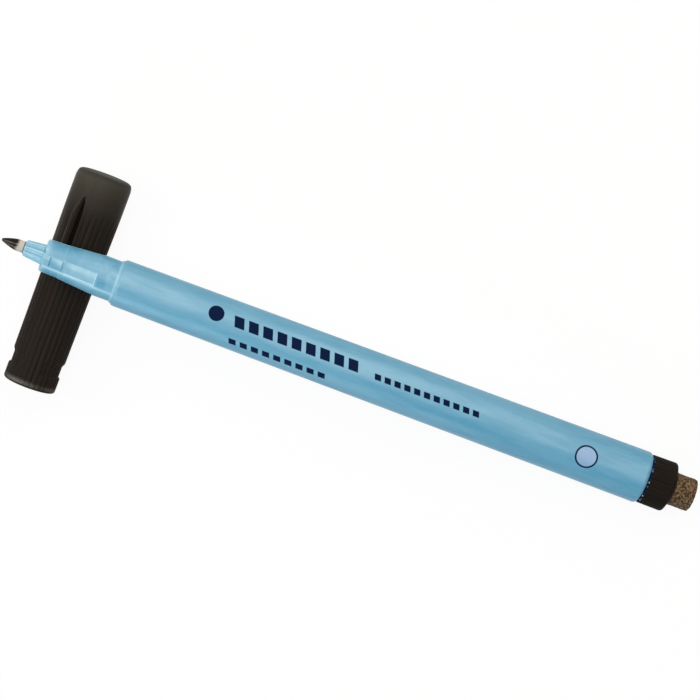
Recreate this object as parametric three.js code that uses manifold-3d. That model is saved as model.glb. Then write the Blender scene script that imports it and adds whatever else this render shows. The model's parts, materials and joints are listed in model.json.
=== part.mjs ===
// Erasable marker lying across its taken-off cap. Millimetres, +Z up, resting on the plane Z = 0.
// Stations on the marker run along its axis from the shoulder: plus towards the cork, minus towards the nib.
// Stations on the cap run along its axis from the closed end towards the mouth.
// Azimuths turn about those axes from the top, towards -Y on the marker and towards -X on the cap.
import * as THREE from 'three'
import { mergeVertices } from 'three/addons/utils/BufferGeometryUtils.js'
import Module from 'manifold-3d'

const wasm = await Module()
wasm.setup()

// Fits between the pieces
const fit = 0.1                    // radial clearance of a piece pushed into another
const seat = 0.1                   // clearance along the axis where one piece stops against another
const restGap = 0.1                // clearance between the marker and the cap it lies on
const capFit = 0.12                // radial clearance of the cap's mouth on the neck

// Nib
const nibRadius = 1.0
const nibReach = 4.0               // from the holder to the tip
const nibPointLength = 2.8
const nibPointCurve = 1.45         // 1 is a straight cone, more is fuller
const nibTipRadius = 0.25
const nibTail = 4.0                // length that sits in the reservoir
const nibTailChamfer = 0.4

// Nib holder: a ribbed tube that stops with a flange behind the collar
const holderWall = 0.66
const holderReach = 3.4            // from the collar to the holder's mouth
const holderTaper = 0.33           // radius lost along the visible tube
const holderChamfer = 0.35
const holderRibs = 8
const holderRibDepth = 0.12
const holderRibAzimuth = -6.5
const holderFlangeRise = 0.65
const holderFlangeLength = 1.0

// Ink reservoir, its film wrap and the barrel's wall
const reservoirRadius = 2.92
const wrapWall = 0.2
const barrelWall = 0.75
const reservoirStandoff = 1.2      // from the shoulder to the reservoir
const reservoirRoom = 0.6          // between the bore's front end and the reservoir

// Barrel
const barrelLength = 95.5
const barrelTaper = 0.47           // radius gained towards the cork
const barrelEndRound = 0.75
const shoulderStep = 0.52
const shoulderLength = 0.65
const shoulderRound = 0.25
const neckLength = 3.1
const ringStep = 0.05              // small step at each end of the cone
const coneLength = 6.3
const coneDrop = 0.52
const collarLength = 3.5
const collarDrop = 0.14
const collarRound = 0.38
const throatWall = 1.05            // wall of the neck round the holder's flange
const throatFunnel = 1.7

// Flat-bottomed pockets on the cone and smaller ones at the collar's front edge
const pocketCount = 3
const pocketAzimuth = 11
const pocketWidth = 2.5
const pocketSink = 0.03            // pocket floor below the cone's small end
const pocketEndWall = 0.2          // from the pocket's end wall to the neck
const padLength = 1.35
const padWidth = 2.2
const padSink = 0.12
const notchCount = 8
const notchAzimuth = 23.5
const notchRadius = 0.55
const notchDepth = 0.14

// End plug
const plugHeadLength = 4.9
const plugHeadSink = 0.23          // radius of the head below the barrel's rear
const plugHeadFlare = 0.05
const plugSplines = 38
const plugSplineDepth = 0.1
const plugRound = 0.45
const plugCrown = 0.4              // length of the cone down to the cork
const plugSkirtLength = 10.4
const plugSkirtWall = 0.9
const plugFloor = 1.4

// Cork eraser
const corkRadius = 2.9
const corkReach = 3.9
const corkSocketDepth = 6.0
const corkRound = 0.5

// Cap
const capWall = 0.93               // at the mouth, outside the bore
const capTaper = 0.32              // radius gained towards the closed end
const capTaperCurve = 1.6          // 1 is a straight taper, more is hollower
const capSmoothLength = 6.2        // plain length at the closed end
const capFadeIn = 1.2              // length over which the flutes reach their depth
const capFlutes = 30
const capFluteDepth = 0.13
const capFluteAzimuth = -8.3
const capFlatRadius = 2.4          // flat disc in the closed end
const capDome = 0.28
const capCornerRadius = 0.55       // radius lost over the rounded corner
const capCornerLength = 1.5
const capRim = 0.5
const capMouthChamfer = 0.12
const capMouthChamferLength = 0.25
const capEndWall = 1.4
const capEndRoom = 14.15           // empty length between the inner seal and the closed end
const capBoreTaper = 0.4
const waistFromMouth = 2.7         // the two side recesses near the mouth
const waistLength = 2.95
const waistRampFront = 0.9
const waistRampBack = 0.35
const waistDepth = 0.32
const waistBridge = 40             // degrees left standing at the top and at the bottom

// Tongue on the cap's closed end
const tongueStart = 4.9
const tongueLength = 9.4
const tongueHalfWidth = 0.95
const tonguePointLength = 4.2
const tongueTailLength = 1.3
const tongueHeight = 0.38
const tongueAzimuth = 25.5

// Inner seal of the cap
const sealWall = 0.8
const sealFloor = 0.8
const sealTipRoom = 1.2            // between the nib's tip and the seal's floor
const sealRingLength = 1.0
const sealNibRoom = 0.4            // radial room round the nib holder
const sealFlareLength = 0.8        // from the sleeve out to the lip
const sealInnerFlare = 0.4

// How the marker lies on its cap
const crossOnMarker = 8.45         // from the shoulder towards the nib, to the cap's axis
const crossOnCap = 15.8            // from the cap's closed end, to the marker's axis

// Roundness of the turned pieces
const barrelSides = 64
const sidesPerRib = 6
const sidesPerSpline = 3
const sidesPerFlute = 4
const tongueSides = 96
const innerSides = 48
const roundSides = 32
const notchSides = 16
const arcSteps = 3
const nibPointSteps = 5
const tongueSteps = 8

// Radii that follow from the fits
const holderBore = nibRadius + fit
const holderRadius = holderBore + holderWall
const holderMouthRadius = holderRadius - holderTaper
const flangeRadius = holderRadius + holderFlangeRise
const collarBore = holderRadius + fit
const wrapBore = reservoirRadius + fit
const wrapRadius = wrapBore + wrapWall
const frontBore = wrapRadius + fit
const rearBore = frontBore + barrelTaper
const barrelFrontRadius = frontBore + barrelWall
const barrelRearRadius = rearBore + barrelWall
const neckRadius = barrelFrontRadius - shoulderStep
const coneRearRadius = neckRadius - ringStep
const coneFrontRadius = coneRearRadius - coneDrop
const collarFrontRadius = coneFrontRadius - collarDrop
const throatRadius = neckRadius - throatWall
const socketRadius = corkRadius + fit
const plugHeadRadius = barrelRearRadius - plugHeadSink
const capBore = neckRadius + capFit
const capMouthRadius = capBore + capWall
const capEndRadius = capMouthRadius + capTaper
const sealBore = coneFrontRadius + fit
const nibRoomRadius = holderRadius + sealNibRoom

// Stations along the marker
const neckAt = -shoulderLength
const coneAt = neckAt - neckLength
const collarAt = coneAt - coneLength
const collarFrontAt = collarAt - collarLength
const holderFrontAt = collarFrontAt - holderReach
const nibTipAt = holderFrontAt - nibReach
const nibRearAt = reservoirStandoff + nibTail
const flangeAt = coneAt - seat
const flangeRearAt = flangeAt + holderFlangeLength
const throatAt = flangeAt - seat
const boreFrontAt = reservoirStandoff - reservoirRoom
const reservoirRearAt = barrelLength - plugSkirtLength - seat
const plugHeadAt = barrelLength + seat
const plugEndAt = plugHeadAt + plugHeadLength
const socketFloorAt = plugEndAt - corkSocketDepth
const skirtFrontAt = reservoirRearAt + seat
const corkEndAt = plugEndAt + corkReach

// Stations along the cap, with its mouth against the shoulder when it is on
const sealDepth = -nibTipAt + sealTipRoom
const capLength = sealDepth + sealFloor + capEndRoom + capEndWall
const sealFloorAt = capLength - sealDepth
const sealMouthAt = capLength + collarAt
const sealLipAt = capLength + collarFrontAt - seat
const waistEndAt = capLength - waistFromMouth
const waistStartAt = waistEndAt - waistLength
const fluteStartAt = capSmoothLength
const fluteFullAt = capSmoothLength + capFadeIn

const radians = THREE.MathUtils.degToRad
const circle = 2 * Math.PI
const mix = THREE.MathUtils.mapLinear

// Profile helpers: a profile is a list of [radius, station]

function arc(fromRadius, fromStation, toRadius, toStation, bulgeOut) {
  // Quarter of an ellipse between two points, without its first point.
  const points = []
  for (let i = 1; i <= arcSteps; i++) {
    const turn = (i / arcSteps) * Math.PI / 2
    const rise = bulgeOut ? Math.sin(turn) : 1 - Math.cos(turn)
    const run = bulgeOut ? 1 - Math.cos(turn) : Math.sin(turn)
    points.push([fromRadius + (toRadius - fromRadius) * rise, fromStation + (toStation - fromStation) * run])
  }
  return points
}

function turned(profile, sides) {
  return new THREE.LatheGeometry(profile.map(([radius, station]) => new THREE.Vector2(radius, station)), sides)
}

function closed(profile) {
  return [...profile, profile[0]]
}

function sunk(geometry, depthAt) {
  // Moves each vertex of a turned shape towards the axis by depthAt(azimuth, station, radius).
  const position = geometry.attributes.position
  for (let i = 0; i < position.count; i++) {
    const x = position.getX(i)
    const z = position.getZ(i)
    const radius = Math.hypot(x, z)
    if (radius > fit) {
      const keep = 1 - depthAt(Math.atan2(x, z), position.getY(i), radius) / radius
      position.setX(i, x * keep)
      position.setZ(i, z * keep)
    }
  }
  return geometry
}

function step(azimuth, count, perPitch) {
  // Whole number of the vertex within one pitch of a pattern of count grooves.
  const index = Math.round(azimuth / circle * count * perPitch)
  return ((index % perPitch) + perPitch) % perPitch
}

// Solid helpers

function solid(geometry) {
  const bare = geometry.clone()
  bare.deleteAttribute('normal')
  bare.deleteAttribute('uv')
  const merged = mergeVertices(bare)
  const corners = merged.index.array
  const triangles = []
  for (let i = 0; i < corners.length; i += 3) {
    const [a, b, c] = [corners[i], corners[i + 1], corners[i + 2]]
    if (a !== b && b !== c && c !== a) triangles.push(a, b, c)
  }
  const mesh = new wasm.Mesh({
    numProp: 3,
    vertProperties: new Float32Array(merged.attributes.position.array),
    triVerts: new Uint32Array(triangles)
  })
  return new wasm.Manifold(mesh)
}

function shape(manifold) {
  const mesh = manifold.getMesh()
  const geometry = new THREE.BufferGeometry()
  geometry.setAttribute('position', new THREE.BufferAttribute(mesh.vertProperties, 3))
  geometry.setIndex(new THREE.BufferAttribute(mesh.triVerts, 1))
  return geometry
}

function around(count, firstAzimuth, make) {
  // Copies of a shape turned about the axis at even steps.
  const copies = []
  for (let i = 0; i < count; i++) {
    copies.push(make().rotateY(radians(firstAzimuth) + i * circle / count))
  }
  return copies
}

function cutAll(body, tools) {
  return tools.reduce((left, tool) => left.subtract(solid(tool)), body)
}

function piece(name, geometry, color, roughness, metalness = 0) {
  const material = new THREE.MeshStandardMaterial({ color, roughness, metalness })
  material.name = name
  const mesh = new THREE.Mesh(geometry, material)
  mesh.name = name
  return mesh
}

// Barrel

function barrelOutline() {
  return [
    [collarFrontRadius - collarRound, collarFrontAt],
    ...arc(collarFrontRadius - collarRound, collarFrontAt, collarFrontRadius, collarFrontAt + collarRound, true),
    [coneFrontRadius - ringStep, collarAt - ringStep],
    [coneFrontRadius, collarAt],
    [coneRearRadius, coneAt - ringStep],
    [neckRadius, coneAt],
    [neckRadius, neckAt],
    [barrelFrontRadius - shoulderRound, -shoulderRound],
    ...arc(barrelFrontRadius - shoulderRound, -shoulderRound, barrelFrontRadius, shoulderRound, true),
    [barrelRearRadius, barrelLength - barrelEndRound],
    ...arc(barrelRearRadius, barrelLength - barrelEndRound, barrelRearRadius - barrelEndRound, barrelLength, false)
  ]
}

function boreAt(station) {
  return mix(station, 0, barrelLength, frontBore, rearBore)
}

function conePocket() {
  const height = shoulderStep + coneDrop + collarDrop
  const rear = coneAt - pocketEndWall
  const length = rear - collarAt
  const floor = coneFrontRadius - pocketSink
  return new THREE.BoxGeometry(pocketWidth, length, height)
    .translate(0, rear - length / 2, floor + height / 2)
}

function collarPad() {
  const floor = collarFrontRadius - padSink
  const height = coneFrontRadius + fit - floor
  return new THREE.BoxGeometry(padWidth, 2 * padLength, height)
    .translate(0, collarFrontAt, floor + height / 2)
}

function collarNotch() {
  const inner = (collarBore + collarFrontRadius) / 2
  const length = coneFrontRadius - inner + fit
  return new THREE.CylinderGeometry(notchRadius, notchRadius, length, notchSides)
    .rotateX(Math.PI / 2)
    .translate(0, collarFrontAt - notchRadius + notchDepth, inner + length / 2)
}

function makeBarrel() {
  const walls = closed([
    [collarBore, collarFrontAt],
    ...barrelOutline(),
    [rearBore, barrelLength],
    [frontBore, boreFrontAt],
    [throatRadius, boreFrontAt - throatFunnel],
    [throatRadius, throatAt],
    [collarBore, throatAt]
  ])
  const tools = [
    ...around(pocketCount, pocketAzimuth, conePocket),
    ...around(pocketCount, pocketAzimuth, collarPad),
    ...around(notchCount, notchAzimuth, collarNotch)
  ]
  return piece('barrel', shape(cutAll(solid(turned(walls, barrelSides)), tools)), 0x6fb3d3, 0.35)
}

// Nib holder

function makeNibHolder() {
  const walls = closed([
    [holderBore, holderFrontAt],
    [holderMouthRadius - holderChamfer, holderFrontAt],
    [holderMouthRadius, holderFrontAt + holderChamfer],
    [holderRadius, collarFrontAt],
    [holderRadius, flangeAt],
    [flangeRadius, flangeAt],
    [flangeRadius, flangeRearAt],
    [holderBore, flangeRearAt]
  ])
  const ribbed = sunk(turned(walls, holderRibs * sidesPerRib), (azimuth, station, radius) => {
    const outside = radius > holderBore + fit && station < flangeAt - fit
    const onTube = station > holderFrontAt + fit
    const wave = 0.5 - 0.5 * Math.cos(holderRibs * azimuth)
    return outside && onTube ? holderRibDepth * wave : 0
  })
  return piece('nib_holder', ribbed.rotateY(radians(holderRibAzimuth)), 0x7fb9cf, 0.4)
}

// Nib

function nibPoint() {
  // The point swells quickly behind its rounded tip and runs into the shank.
  const blunt = nibTipRadius / 2
  const points = [[0, nibTipAt], ...arc(0, nibTipAt, nibTipRadius, nibTipAt + blunt, true)]
  for (let i = 1; i <= nibPointSteps; i++) {
    const towardTip = 1 - i / nibPointSteps
    const radius = nibRadius - (nibRadius - nibTipRadius) * towardTip ** nibPointCurve
    points.push([radius, mix(towardTip, 0, 1, nibTipAt + nibPointLength, nibTipAt + blunt)])
  }
  return points
}

function makeNib() {
  const shank = [
    [nibRadius, nibRearAt - nibTailChamfer],
    [nibRadius - nibTailChamfer, nibRearAt],
    [0, nibRearAt]
  ]
  return piece('nib', turned([...nibPoint(), ...shank], roundSides), 0x2b2622, 0.6)
}

// Ink reservoir and its wrap

function makeReservoir() {
  const socketEnd = nibRearAt + seat
  const core = [
    [0, socketEnd],
    [nibRadius + fit, socketEnd],
    [nibRadius + fit, reservoirStandoff],
    [reservoirRadius, reservoirStandoff],
    [reservoirRadius, reservoirRearAt],
    [0, reservoirRearAt]
  ]
  return piece('ink_reservoir', turned(core, roundSides), 0x30343c, 0.9)
}

function makeWrap() {
  const film = closed([
    [wrapBore, reservoirStandoff],
    [wrapRadius, reservoirStandoff],
    [wrapRadius, reservoirRearAt],
    [wrapBore, reservoirRearAt]
  ])
  return piece('reservoir_wrap', turned(film, innerSides), 0xe4e8ea, 0.3)
}

// End plug

function makePlug() {
  const skirtRadius = boreAt(skirtFrontAt) - fit
  const skirtBore = skirtRadius - plugSkirtWall
  const crownAt = plugEndAt - plugCrown
  const rearRadius = plugHeadRadius + plugHeadFlare
  const outline = [
    [0, socketFloorAt - plugFloor],
    [skirtBore, socketFloorAt - plugFloor],
    [skirtBore, skirtFrontAt],
    [skirtRadius, skirtFrontAt],
    [skirtRadius, plugHeadAt],
    [plugHeadRadius, plugHeadAt],
    [rearRadius, crownAt - plugRound],
    ...arc(rearRadius, crownAt - plugRound, rearRadius - plugRound, crownAt, false),
    [socketRadius + fit, plugEndAt],
    [socketRadius, plugEndAt],
    [socketRadius, socketFloorAt],
    [0, socketFloorAt]
  ]
  const splined = sunk(turned(outline, plugSplines * sidesPerSpline), (azimuth, station, radius) => {
    const onHead = radius > plugHeadRadius - fit && station < crownAt
    return onHead && step(azimuth, plugSplines, sidesPerSpline) === 0 ? plugSplineDepth : 0
  })
  return piece('end_plug', splined, 0x24201d, 0.5)
}

// Cork eraser

function makeCork() {
  const floor = socketFloorAt + seat
  const outline = [
    [0, floor],
    [corkRadius - corkRound, floor],
    ...arc(corkRadius - corkRound, floor, corkRadius, floor + corkRound, true),
    [corkRadius, corkEndAt - corkRound],
    ...arc(corkRadius, corkEndAt - corkRound, corkRadius - corkRound, corkEndAt, false),
    [0, corkEndAt]
  ]
  return piece('cork_eraser', turned(outline, roundSides), 0x7a5c40, 0.9)
}

// Cap

function capOutsideAt(station) {
  const toMouth = THREE.MathUtils.clamp(mix(station, capSmoothLength, capLength - capRim, 1, 0), 0, 1)
  return capMouthRadius + capTaper * toMouth ** capTaperCurve
}

function capBoreAt(station) {
  return mix(station, capEndWall, capLength + coneAt, capBore - capBoreTaper, capBore)
}

function capOutline(rise = 0) {
  const edge = capEndRadius - capCornerRadius
  const middle = (fluteFullAt + waistStartAt) / 2
  return [
    [0, 0],
    [capFlatRadius, 0],
    [edge + rise, capDome],
    ...arc(edge + rise, capDome, capEndRadius + rise, capDome + capCornerLength, true),
    [capOutsideAt(fluteStartAt) + rise, fluteStartAt],
    [capOutsideAt(fluteFullAt) + rise, fluteFullAt],
    [capOutsideAt(middle) + rise, middle],
    [capOutsideAt(waistStartAt) + rise, waistStartAt],
    [capOutsideAt(waistStartAt + waistRampFront) + rise, waistStartAt + waistRampFront],
    [capOutsideAt(waistEndAt - waistRampBack) + rise, waistEndAt - waistRampBack],
    [capOutsideAt(waistEndAt) + rise, waistEndAt],
    [capMouthRadius + rise, capLength - capRim],
    ...arc(capMouthRadius + rise, capLength - capRim, capMouthRadius - capRim + rise, capLength, false),
    [0, capLength]
  ]
}

function capGroove(azimuth, station) {
  const inFlutes = station > fluteStartAt + fit && station < capLength - capRim + fit
  const flute = inFlutes && step(azimuth, capFlutes, sidesPerFlute) === 0 ? capFluteDepth : 0
  const bridge = radians(waistBridge / 2)
  const fromTop = Math.abs(azimuth + radians(capFluteAzimuth))
  const beside = fromTop > bridge && fromTop < Math.PI - bridge
  const inWaist = station > waistStartAt + fit && station < waistEndAt - fit
  return beside && inWaist ? waistDepth : flute
}

function tongueShape() {
  const half = tongueHalfWidth
  const tail = tongueLength - tongueTailLength
  const outline = new THREE.Shape()
  outline.moveTo(0, 0)
  outline.quadraticCurveTo(half, tonguePointLength / 2, half, tonguePointLength)
  outline.lineTo(half, tail)
  outline.quadraticCurveTo(half, tongueLength, 0, tongueLength)
  outline.quadraticCurveTo(-half, tongueLength, -half, tail)
  outline.lineTo(-half, tonguePointLength)
  outline.quadraticCurveTo(-half, tonguePointLength / 2, 0, 0)
  return outline
}

function makeTongue() {
  // Upright slab of the tongue's outline, trimmed to stand evenly proud of the cap.
  const depth = capEndRadius
  const slab = new THREE.ExtrudeGeometry(tongueShape(), { depth, bevelEnabled: false, curveSegments: tongueSteps })
    .translate(0, tongueStart, (capEndRadius + capBore) / 2)
    .rotateY(radians(tongueAzimuth))
  return solid(slab).intersect(solid(turned(capOutline(tongueHeight), tongueSides)))
}

function capCavity() {
  const beyond = capLength + capRim
  return [
    [0, capEndWall],
    [capBoreAt(capEndWall), capEndWall],
    [capBore, capLength + coneAt],
    [capBore, capLength - capMouthChamferLength],
    [capBore + capMouthChamfer, capLength],
    [capBore + capMouthChamfer, beyond],
    [0, beyond]
  ]
}

function makeCap() {
  const outside = sunk(turned(capOutline(), capFlutes * sidesPerFlute), capGroove).rotateY(radians(capFluteAzimuth))
  const shell = solid(outside)
    .add(makeTongue())
    .subtract(solid(turned(capCavity(), innerSides)))
  return piece('cap_shell', shape(shell), 0x262320, 0.45)
}

function makeSeal() {
  const ringEnd = sealFloorAt + sealRingLength - sealFloor
  const sleeve = nibRoomRadius + sealWall
  const walls = [
    [0, sealFloorAt - sealFloor],
    [capBoreAt(sealFloorAt - sealFloor) - fit, sealFloorAt - sealFloor],
    [capBoreAt(sealFloorAt - sealFloor) - fit, ringEnd],
    [sleeve, ringEnd],
    [sleeve, sealLipAt - sealFlareLength],
    [capBoreAt(sealLipAt) - fit, sealLipAt],
    [capBoreAt(sealMouthAt) - fit, sealMouthAt],
    [sealBore, sealMouthAt],
    [sealBore, sealLipAt],
    [nibRoomRadius, sealLipAt - sealInnerFlare],
    [nibRoomRadius, sealFloorAt],
    [0, sealFloorAt]
  ]
  return piece('cap_inner_seal', turned(walls, innerSides), 0x3a3836, 0.5)
}

// Where things lie

function stand(group, along, up, origin) {
  const across = new THREE.Vector3().crossVectors(along, up)
  group.quaternion.setFromRotationMatrix(new THREE.Matrix4().makeBasis(across, along, up))
  group.position.copy(origin)
}

function restCap(cap) {
  // The cap lies on its taper, so its axis dips towards the mouth. Returns that axis and its height.
  const span = capLength - capRim - capSmoothLength
  const dip = Math.atan2(capEndRadius - capMouthRadius, span)
  const height = capSmoothLength * Math.sin(dip) + capEndRadius * Math.cos(dip)
  const along = new THREE.Vector3(0, -Math.cos(dip), -Math.sin(dip))
  const up = new THREE.Vector3(0, -Math.sin(dip), Math.cos(dip))
  const origin = new THREE.Vector3(0, crossOnCap * Math.cos(dip), height)
  stand(cap, along, up, origin)
  return height - crossOnCap * Math.sin(dip)
}

function underside() {
  // Closely spaced points [station, radius] of the marker's outline.
  const outline = [...barrelOutline(), [plugHeadRadius + plugHeadFlare, plugEndAt - plugCrown - plugRound]]
  const points = []
  for (let i = 1; i < outline.length; i++) {
    const [r0, s0] = outline[i - 1]
    const [r1, s1] = outline[i]
    const steps = Math.max(1, Math.ceil(Math.abs(s1 - s0) / fit))
    for (let k = 0; k <= steps; k++) points.push([mix(k, 0, steps, s0, s1), mix(k, 0, steps, r0, r1)])
  }
  return points
}

function restMarker(marker, axisHeight) {
  // The marker's underside touches the cap, a circle in this plane, and the rear touches the ground.
  const reach = capOutsideAt(crossOnCap) + restGap
  const points = underside()
  const near = points.filter(([station]) => Math.abs(station + crossOnMarker) < reach)
  const drop = Math.max(...near.map(([station, radius]) => {
    return radius + Math.sqrt(reach ** 2 - (station + crossOnMarker) ** 2)
  }))
  const behind = points.filter(([station]) => station > 0)
  const pitch = Math.min(...behind.map(([station, radius]) => {
    const along = station + crossOnMarker
    const above = drop - radius
    return Math.atan2(above, along) + Math.asin(Math.min(1, axisHeight / Math.hypot(along, above)))
  }))
  const along = new THREE.Vector3(Math.cos(pitch), 0, -Math.sin(pitch))
  const up = new THREE.Vector3(Math.sin(pitch), 0, Math.cos(pitch))
  const origin = new THREE.Vector3(0, 0, axisHeight)
    .addScaledVector(along, crossOnMarker)
    .addScaledVector(up, drop)
  stand(marker, along, up, origin)
}

const marker = new THREE.Group()
marker.add(makeBarrel(), makeNibHolder(), makeNib(), makeReservoir(), makeWrap(), makePlug(), makeCork())

const cap = new THREE.Group()
cap.add(makeCap(), makeSeal())

restMarker(marker, restCap(cap))

const group = new THREE.Group()
group.add(marker, cap)
group.updateMatrixWorld(true)
const box = new THREE.Box3().setFromObject(group, true)
group.position.set(-(box.min.x + box.max.x) / 2, -(box.min.y + box.max.y) / 2, -box.min.z)
group.updateMatrixWorld(true)

export default group
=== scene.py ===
# Looks of the erasable marker: fine surfaces, finishes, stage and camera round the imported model.
# Every piece is made in the frame of the marker or of the cap, with its axis along Y and its top at +Z.
# Stations run along Y: on the marker from the shoulder towards the cork, on the cap from the closed end.
# Azimuths turn about Y, from the top (+Z) towards +X.

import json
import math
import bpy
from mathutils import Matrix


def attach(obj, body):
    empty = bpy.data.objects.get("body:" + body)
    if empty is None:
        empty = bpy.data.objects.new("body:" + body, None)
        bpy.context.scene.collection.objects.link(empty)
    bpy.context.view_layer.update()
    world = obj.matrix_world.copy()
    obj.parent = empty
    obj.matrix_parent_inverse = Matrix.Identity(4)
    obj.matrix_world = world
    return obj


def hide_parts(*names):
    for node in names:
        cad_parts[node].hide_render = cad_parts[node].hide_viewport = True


bl_info = {
    "name": "Erasable Marker",
    "version": (1, 0, 0),
    "blender": (4, 5, 0),
    "location": "3D View > Sidebar > Marker",
    "description": "Fine surfaces, finishes and stage for an erasable marker that lies across its cap",
    "category": "Add Mesh",
}

from functools import cache

import bpy
from bpy.props import FloatProperty, FloatVectorProperty, IntProperty, PointerProperty
from mathutils import Matrix, Vector

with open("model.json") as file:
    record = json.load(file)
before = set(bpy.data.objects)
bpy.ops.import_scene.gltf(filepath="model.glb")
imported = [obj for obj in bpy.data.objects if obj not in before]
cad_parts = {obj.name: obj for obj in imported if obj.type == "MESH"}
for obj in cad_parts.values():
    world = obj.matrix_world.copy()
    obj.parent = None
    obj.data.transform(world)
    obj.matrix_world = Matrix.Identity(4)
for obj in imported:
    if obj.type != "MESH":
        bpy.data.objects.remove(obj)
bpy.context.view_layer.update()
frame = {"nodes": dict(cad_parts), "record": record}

MM = 0.001
TURN = 2 * math.pi
TOP = Vector((0, 0, 1))
CLOSE = 0.01 * MM                 # distance below which a point counts as on the axis
CREASE = math.radians(32)         # faces that meet at more than this stay sharp
CORK_END_STATION = 104.4 * MM     # the marker's mount, on its own axis


# Places

def local_frame(mount_name, station, outward):
    """Matrix from a local frame to the row frame, worked out from a mount on its axis."""
    mount = next(m for m in frame["record"]["mounts"] if m["name"] == mount_name)
    along = Vector(mount["axis"]).normalized() * outward
    up = (TOP - along * along.z).normalized()
    turn = Matrix((along.cross(up), along, up)).transposed().to_4x4()
    return Matrix.Translation(Vector(mount["pos_m"]) - along * station) @ turn


MARKER = local_frame("cork_end_face", CORK_END_STATION, 1)
CAP = local_frame("cap_end_face", 0, -1)


# Sizes and colours

def size(name, mm, description):
    return FloatProperty(name=name, description=description, default=mm * MM, unit="LENGTH", precision=5)


def angle(name, degrees, description):
    return FloatProperty(name=name, description=description, default=math.radians(degrees), subtype="ANGLE")


def count(name, number, description):
    return IntProperty(name=name, description=description, default=number, min=1)


def share(name, part, description, low=0):
    return FloatProperty(name=name, description=description, default=part, min=low, max=1, subtype="FACTOR")


def power(name, exponent, description):
    return FloatProperty(name=name, description=description, default=exponent, min=0)


def colour(name, rgb, description):
    return FloatVectorProperty(name=name, description=description, default=rgb, size=3, subtype="COLOR")


class BarrelSizes(bpy.types.PropertyGroup):
    length: size("Length", 95.5, "From the shoulder to the rear edge")
    front_radius: size("Front Radius", 4.067, "Outside, at the shoulder")
    rear_radius: size("Rear Radius", 4.537, "Outside, at the rear edge")
    wall: size("Wall", 0.75, "Thickness of the tube's wall")
    neck_radius: size("Neck Radius", 3.55, "Ring that holds the cap's mouth")
    neck_length: size("Neck Length", 3.1, "Along the axis")
    shoulder_length: size("Shoulder Length", 0.65, "Slope from the neck up to the tube")
    cone_length: size("Cone Length", 6.3, "Between the neck and the collar")
    cone_drop: size("Cone Drop", 0.52, "Radius lost along the cone")
    ring_step: size("Ring Step", 0.05, "Small step at each end of the cone")
    collar_length: size("Collar Length", 3.5, "Front ring that holds the nib holder")
    collar_drop: size("Collar Drop", 0.14, "Radius lost along the collar")
    collar_round: size("Collar Round", 0.38, "Rounding of the front edge")
    end_round: size("End Round", 0.75, "Rounding of the rear edge")
    throat_radius: size("Throat Radius", 2.5, "Bore behind the collar")
    bore_front: size("Bore Front", 0.6, "Station where the full bore starts")
    pockets: count("Pockets", 3, "Flat-bottomed pockets round the cone")
    pocket_azimuth: angle("Pocket Azimuth", 11, "First pocket, from the top")
    pocket_spread: angle("Pocket Spread", 21.5, "Half of its width, about the axis")
    pocket_front_sink: size("Pocket Front Sink", 0.21, "Floor below the cone, at the front")
    pocket_rear_sink: size("Pocket Rear Sink", 0.55, "Floor below the cone, at the rear")
    pocket_end_wall: size("Pocket End Wall", 0.2, "From the pocket to the neck")
    pad_length: size("Pad Length", 1.35, "Flat at the collar's front edge")
    pad_sink: size("Pad Sink", 0.12, "Flat below the collar's front edge")
    slot_length: size("Slot Length", 0.2, "Narrow slot behind the flat, along the axis")
    slot_half_width: size("Slot Half Width", 0.68, "Of that slot")
    slot_depth: size("Slot Depth", 0.22, "Of that slot")
    scallops: count("Scallops", 6, "Shallow bites in the collar's front edge")
    scallop_azimuth: angle("Scallop Azimuth", 41, "First scallop, from the top")
    scallop_radius: size("Scallop Radius", 0.6, "Of each bite")
    scallop_depth: size("Scallop Depth", 0.24, "Of each bite")


class HolderSizes(bpy.types.PropertyGroup):
    bore: size("Bore", 1.1, "Radius round the nib")
    radius: size("Radius", 1.76, "Outside, at the collar")
    taper: size("Taper", 0.33, "Radius lost along the visible tube")
    reach: size("Reach", 3.4, "From the collar to the mouth")
    chamfer: size("Chamfer", 0.28, "At the mouth")
    ribs: count("Ribs", 8, "Round the tube")
    rib_depth: size("Rib Depth", 0.2, "Grooves between the ribs")
    rib_azimuth: angle("Rib Azimuth", 16, "First groove, from the top")
    line_depth: size("Line Depth", 0.06, "Fine groove along each rib")
    line_azimuth: angle("Line Azimuth", -3, "First fine groove, from the top")
    # painted highlight on the ribs' crests
    crest_highlight: share("Crest Pale", 0.37, "Paler tone of the ribs' crests")
    flange_radius: size("Flange Radius", 2.41, "Hidden flange behind the collar")
    flange_station: size("Flange Station", -3.85, "Front of the flange")
    flange_length: size("Flange Length", 1.0, "Along the axis")


class NibSizes(bpy.types.PropertyGroup):
    radius: size("Radius", 1.0, "Of the shank")
    reach: size("Reach", 3.997, "From the holder to the tip")
    point_length: size("Point Length", 2.8, "Swelling from the tip to the shank")
    point_curve: power("Point Curve", 1.45, "1 is a straight cone, more is fuller")
    tip_radius: size("Tip Radius", 0.25, "Of the rounded tip")
    tail_station: size("Tail Station", 5.2, "End of the shank in the reservoir")
    ink_edge: size("Ink Edge", -18.15, "Station where the ink on the point stops")


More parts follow.
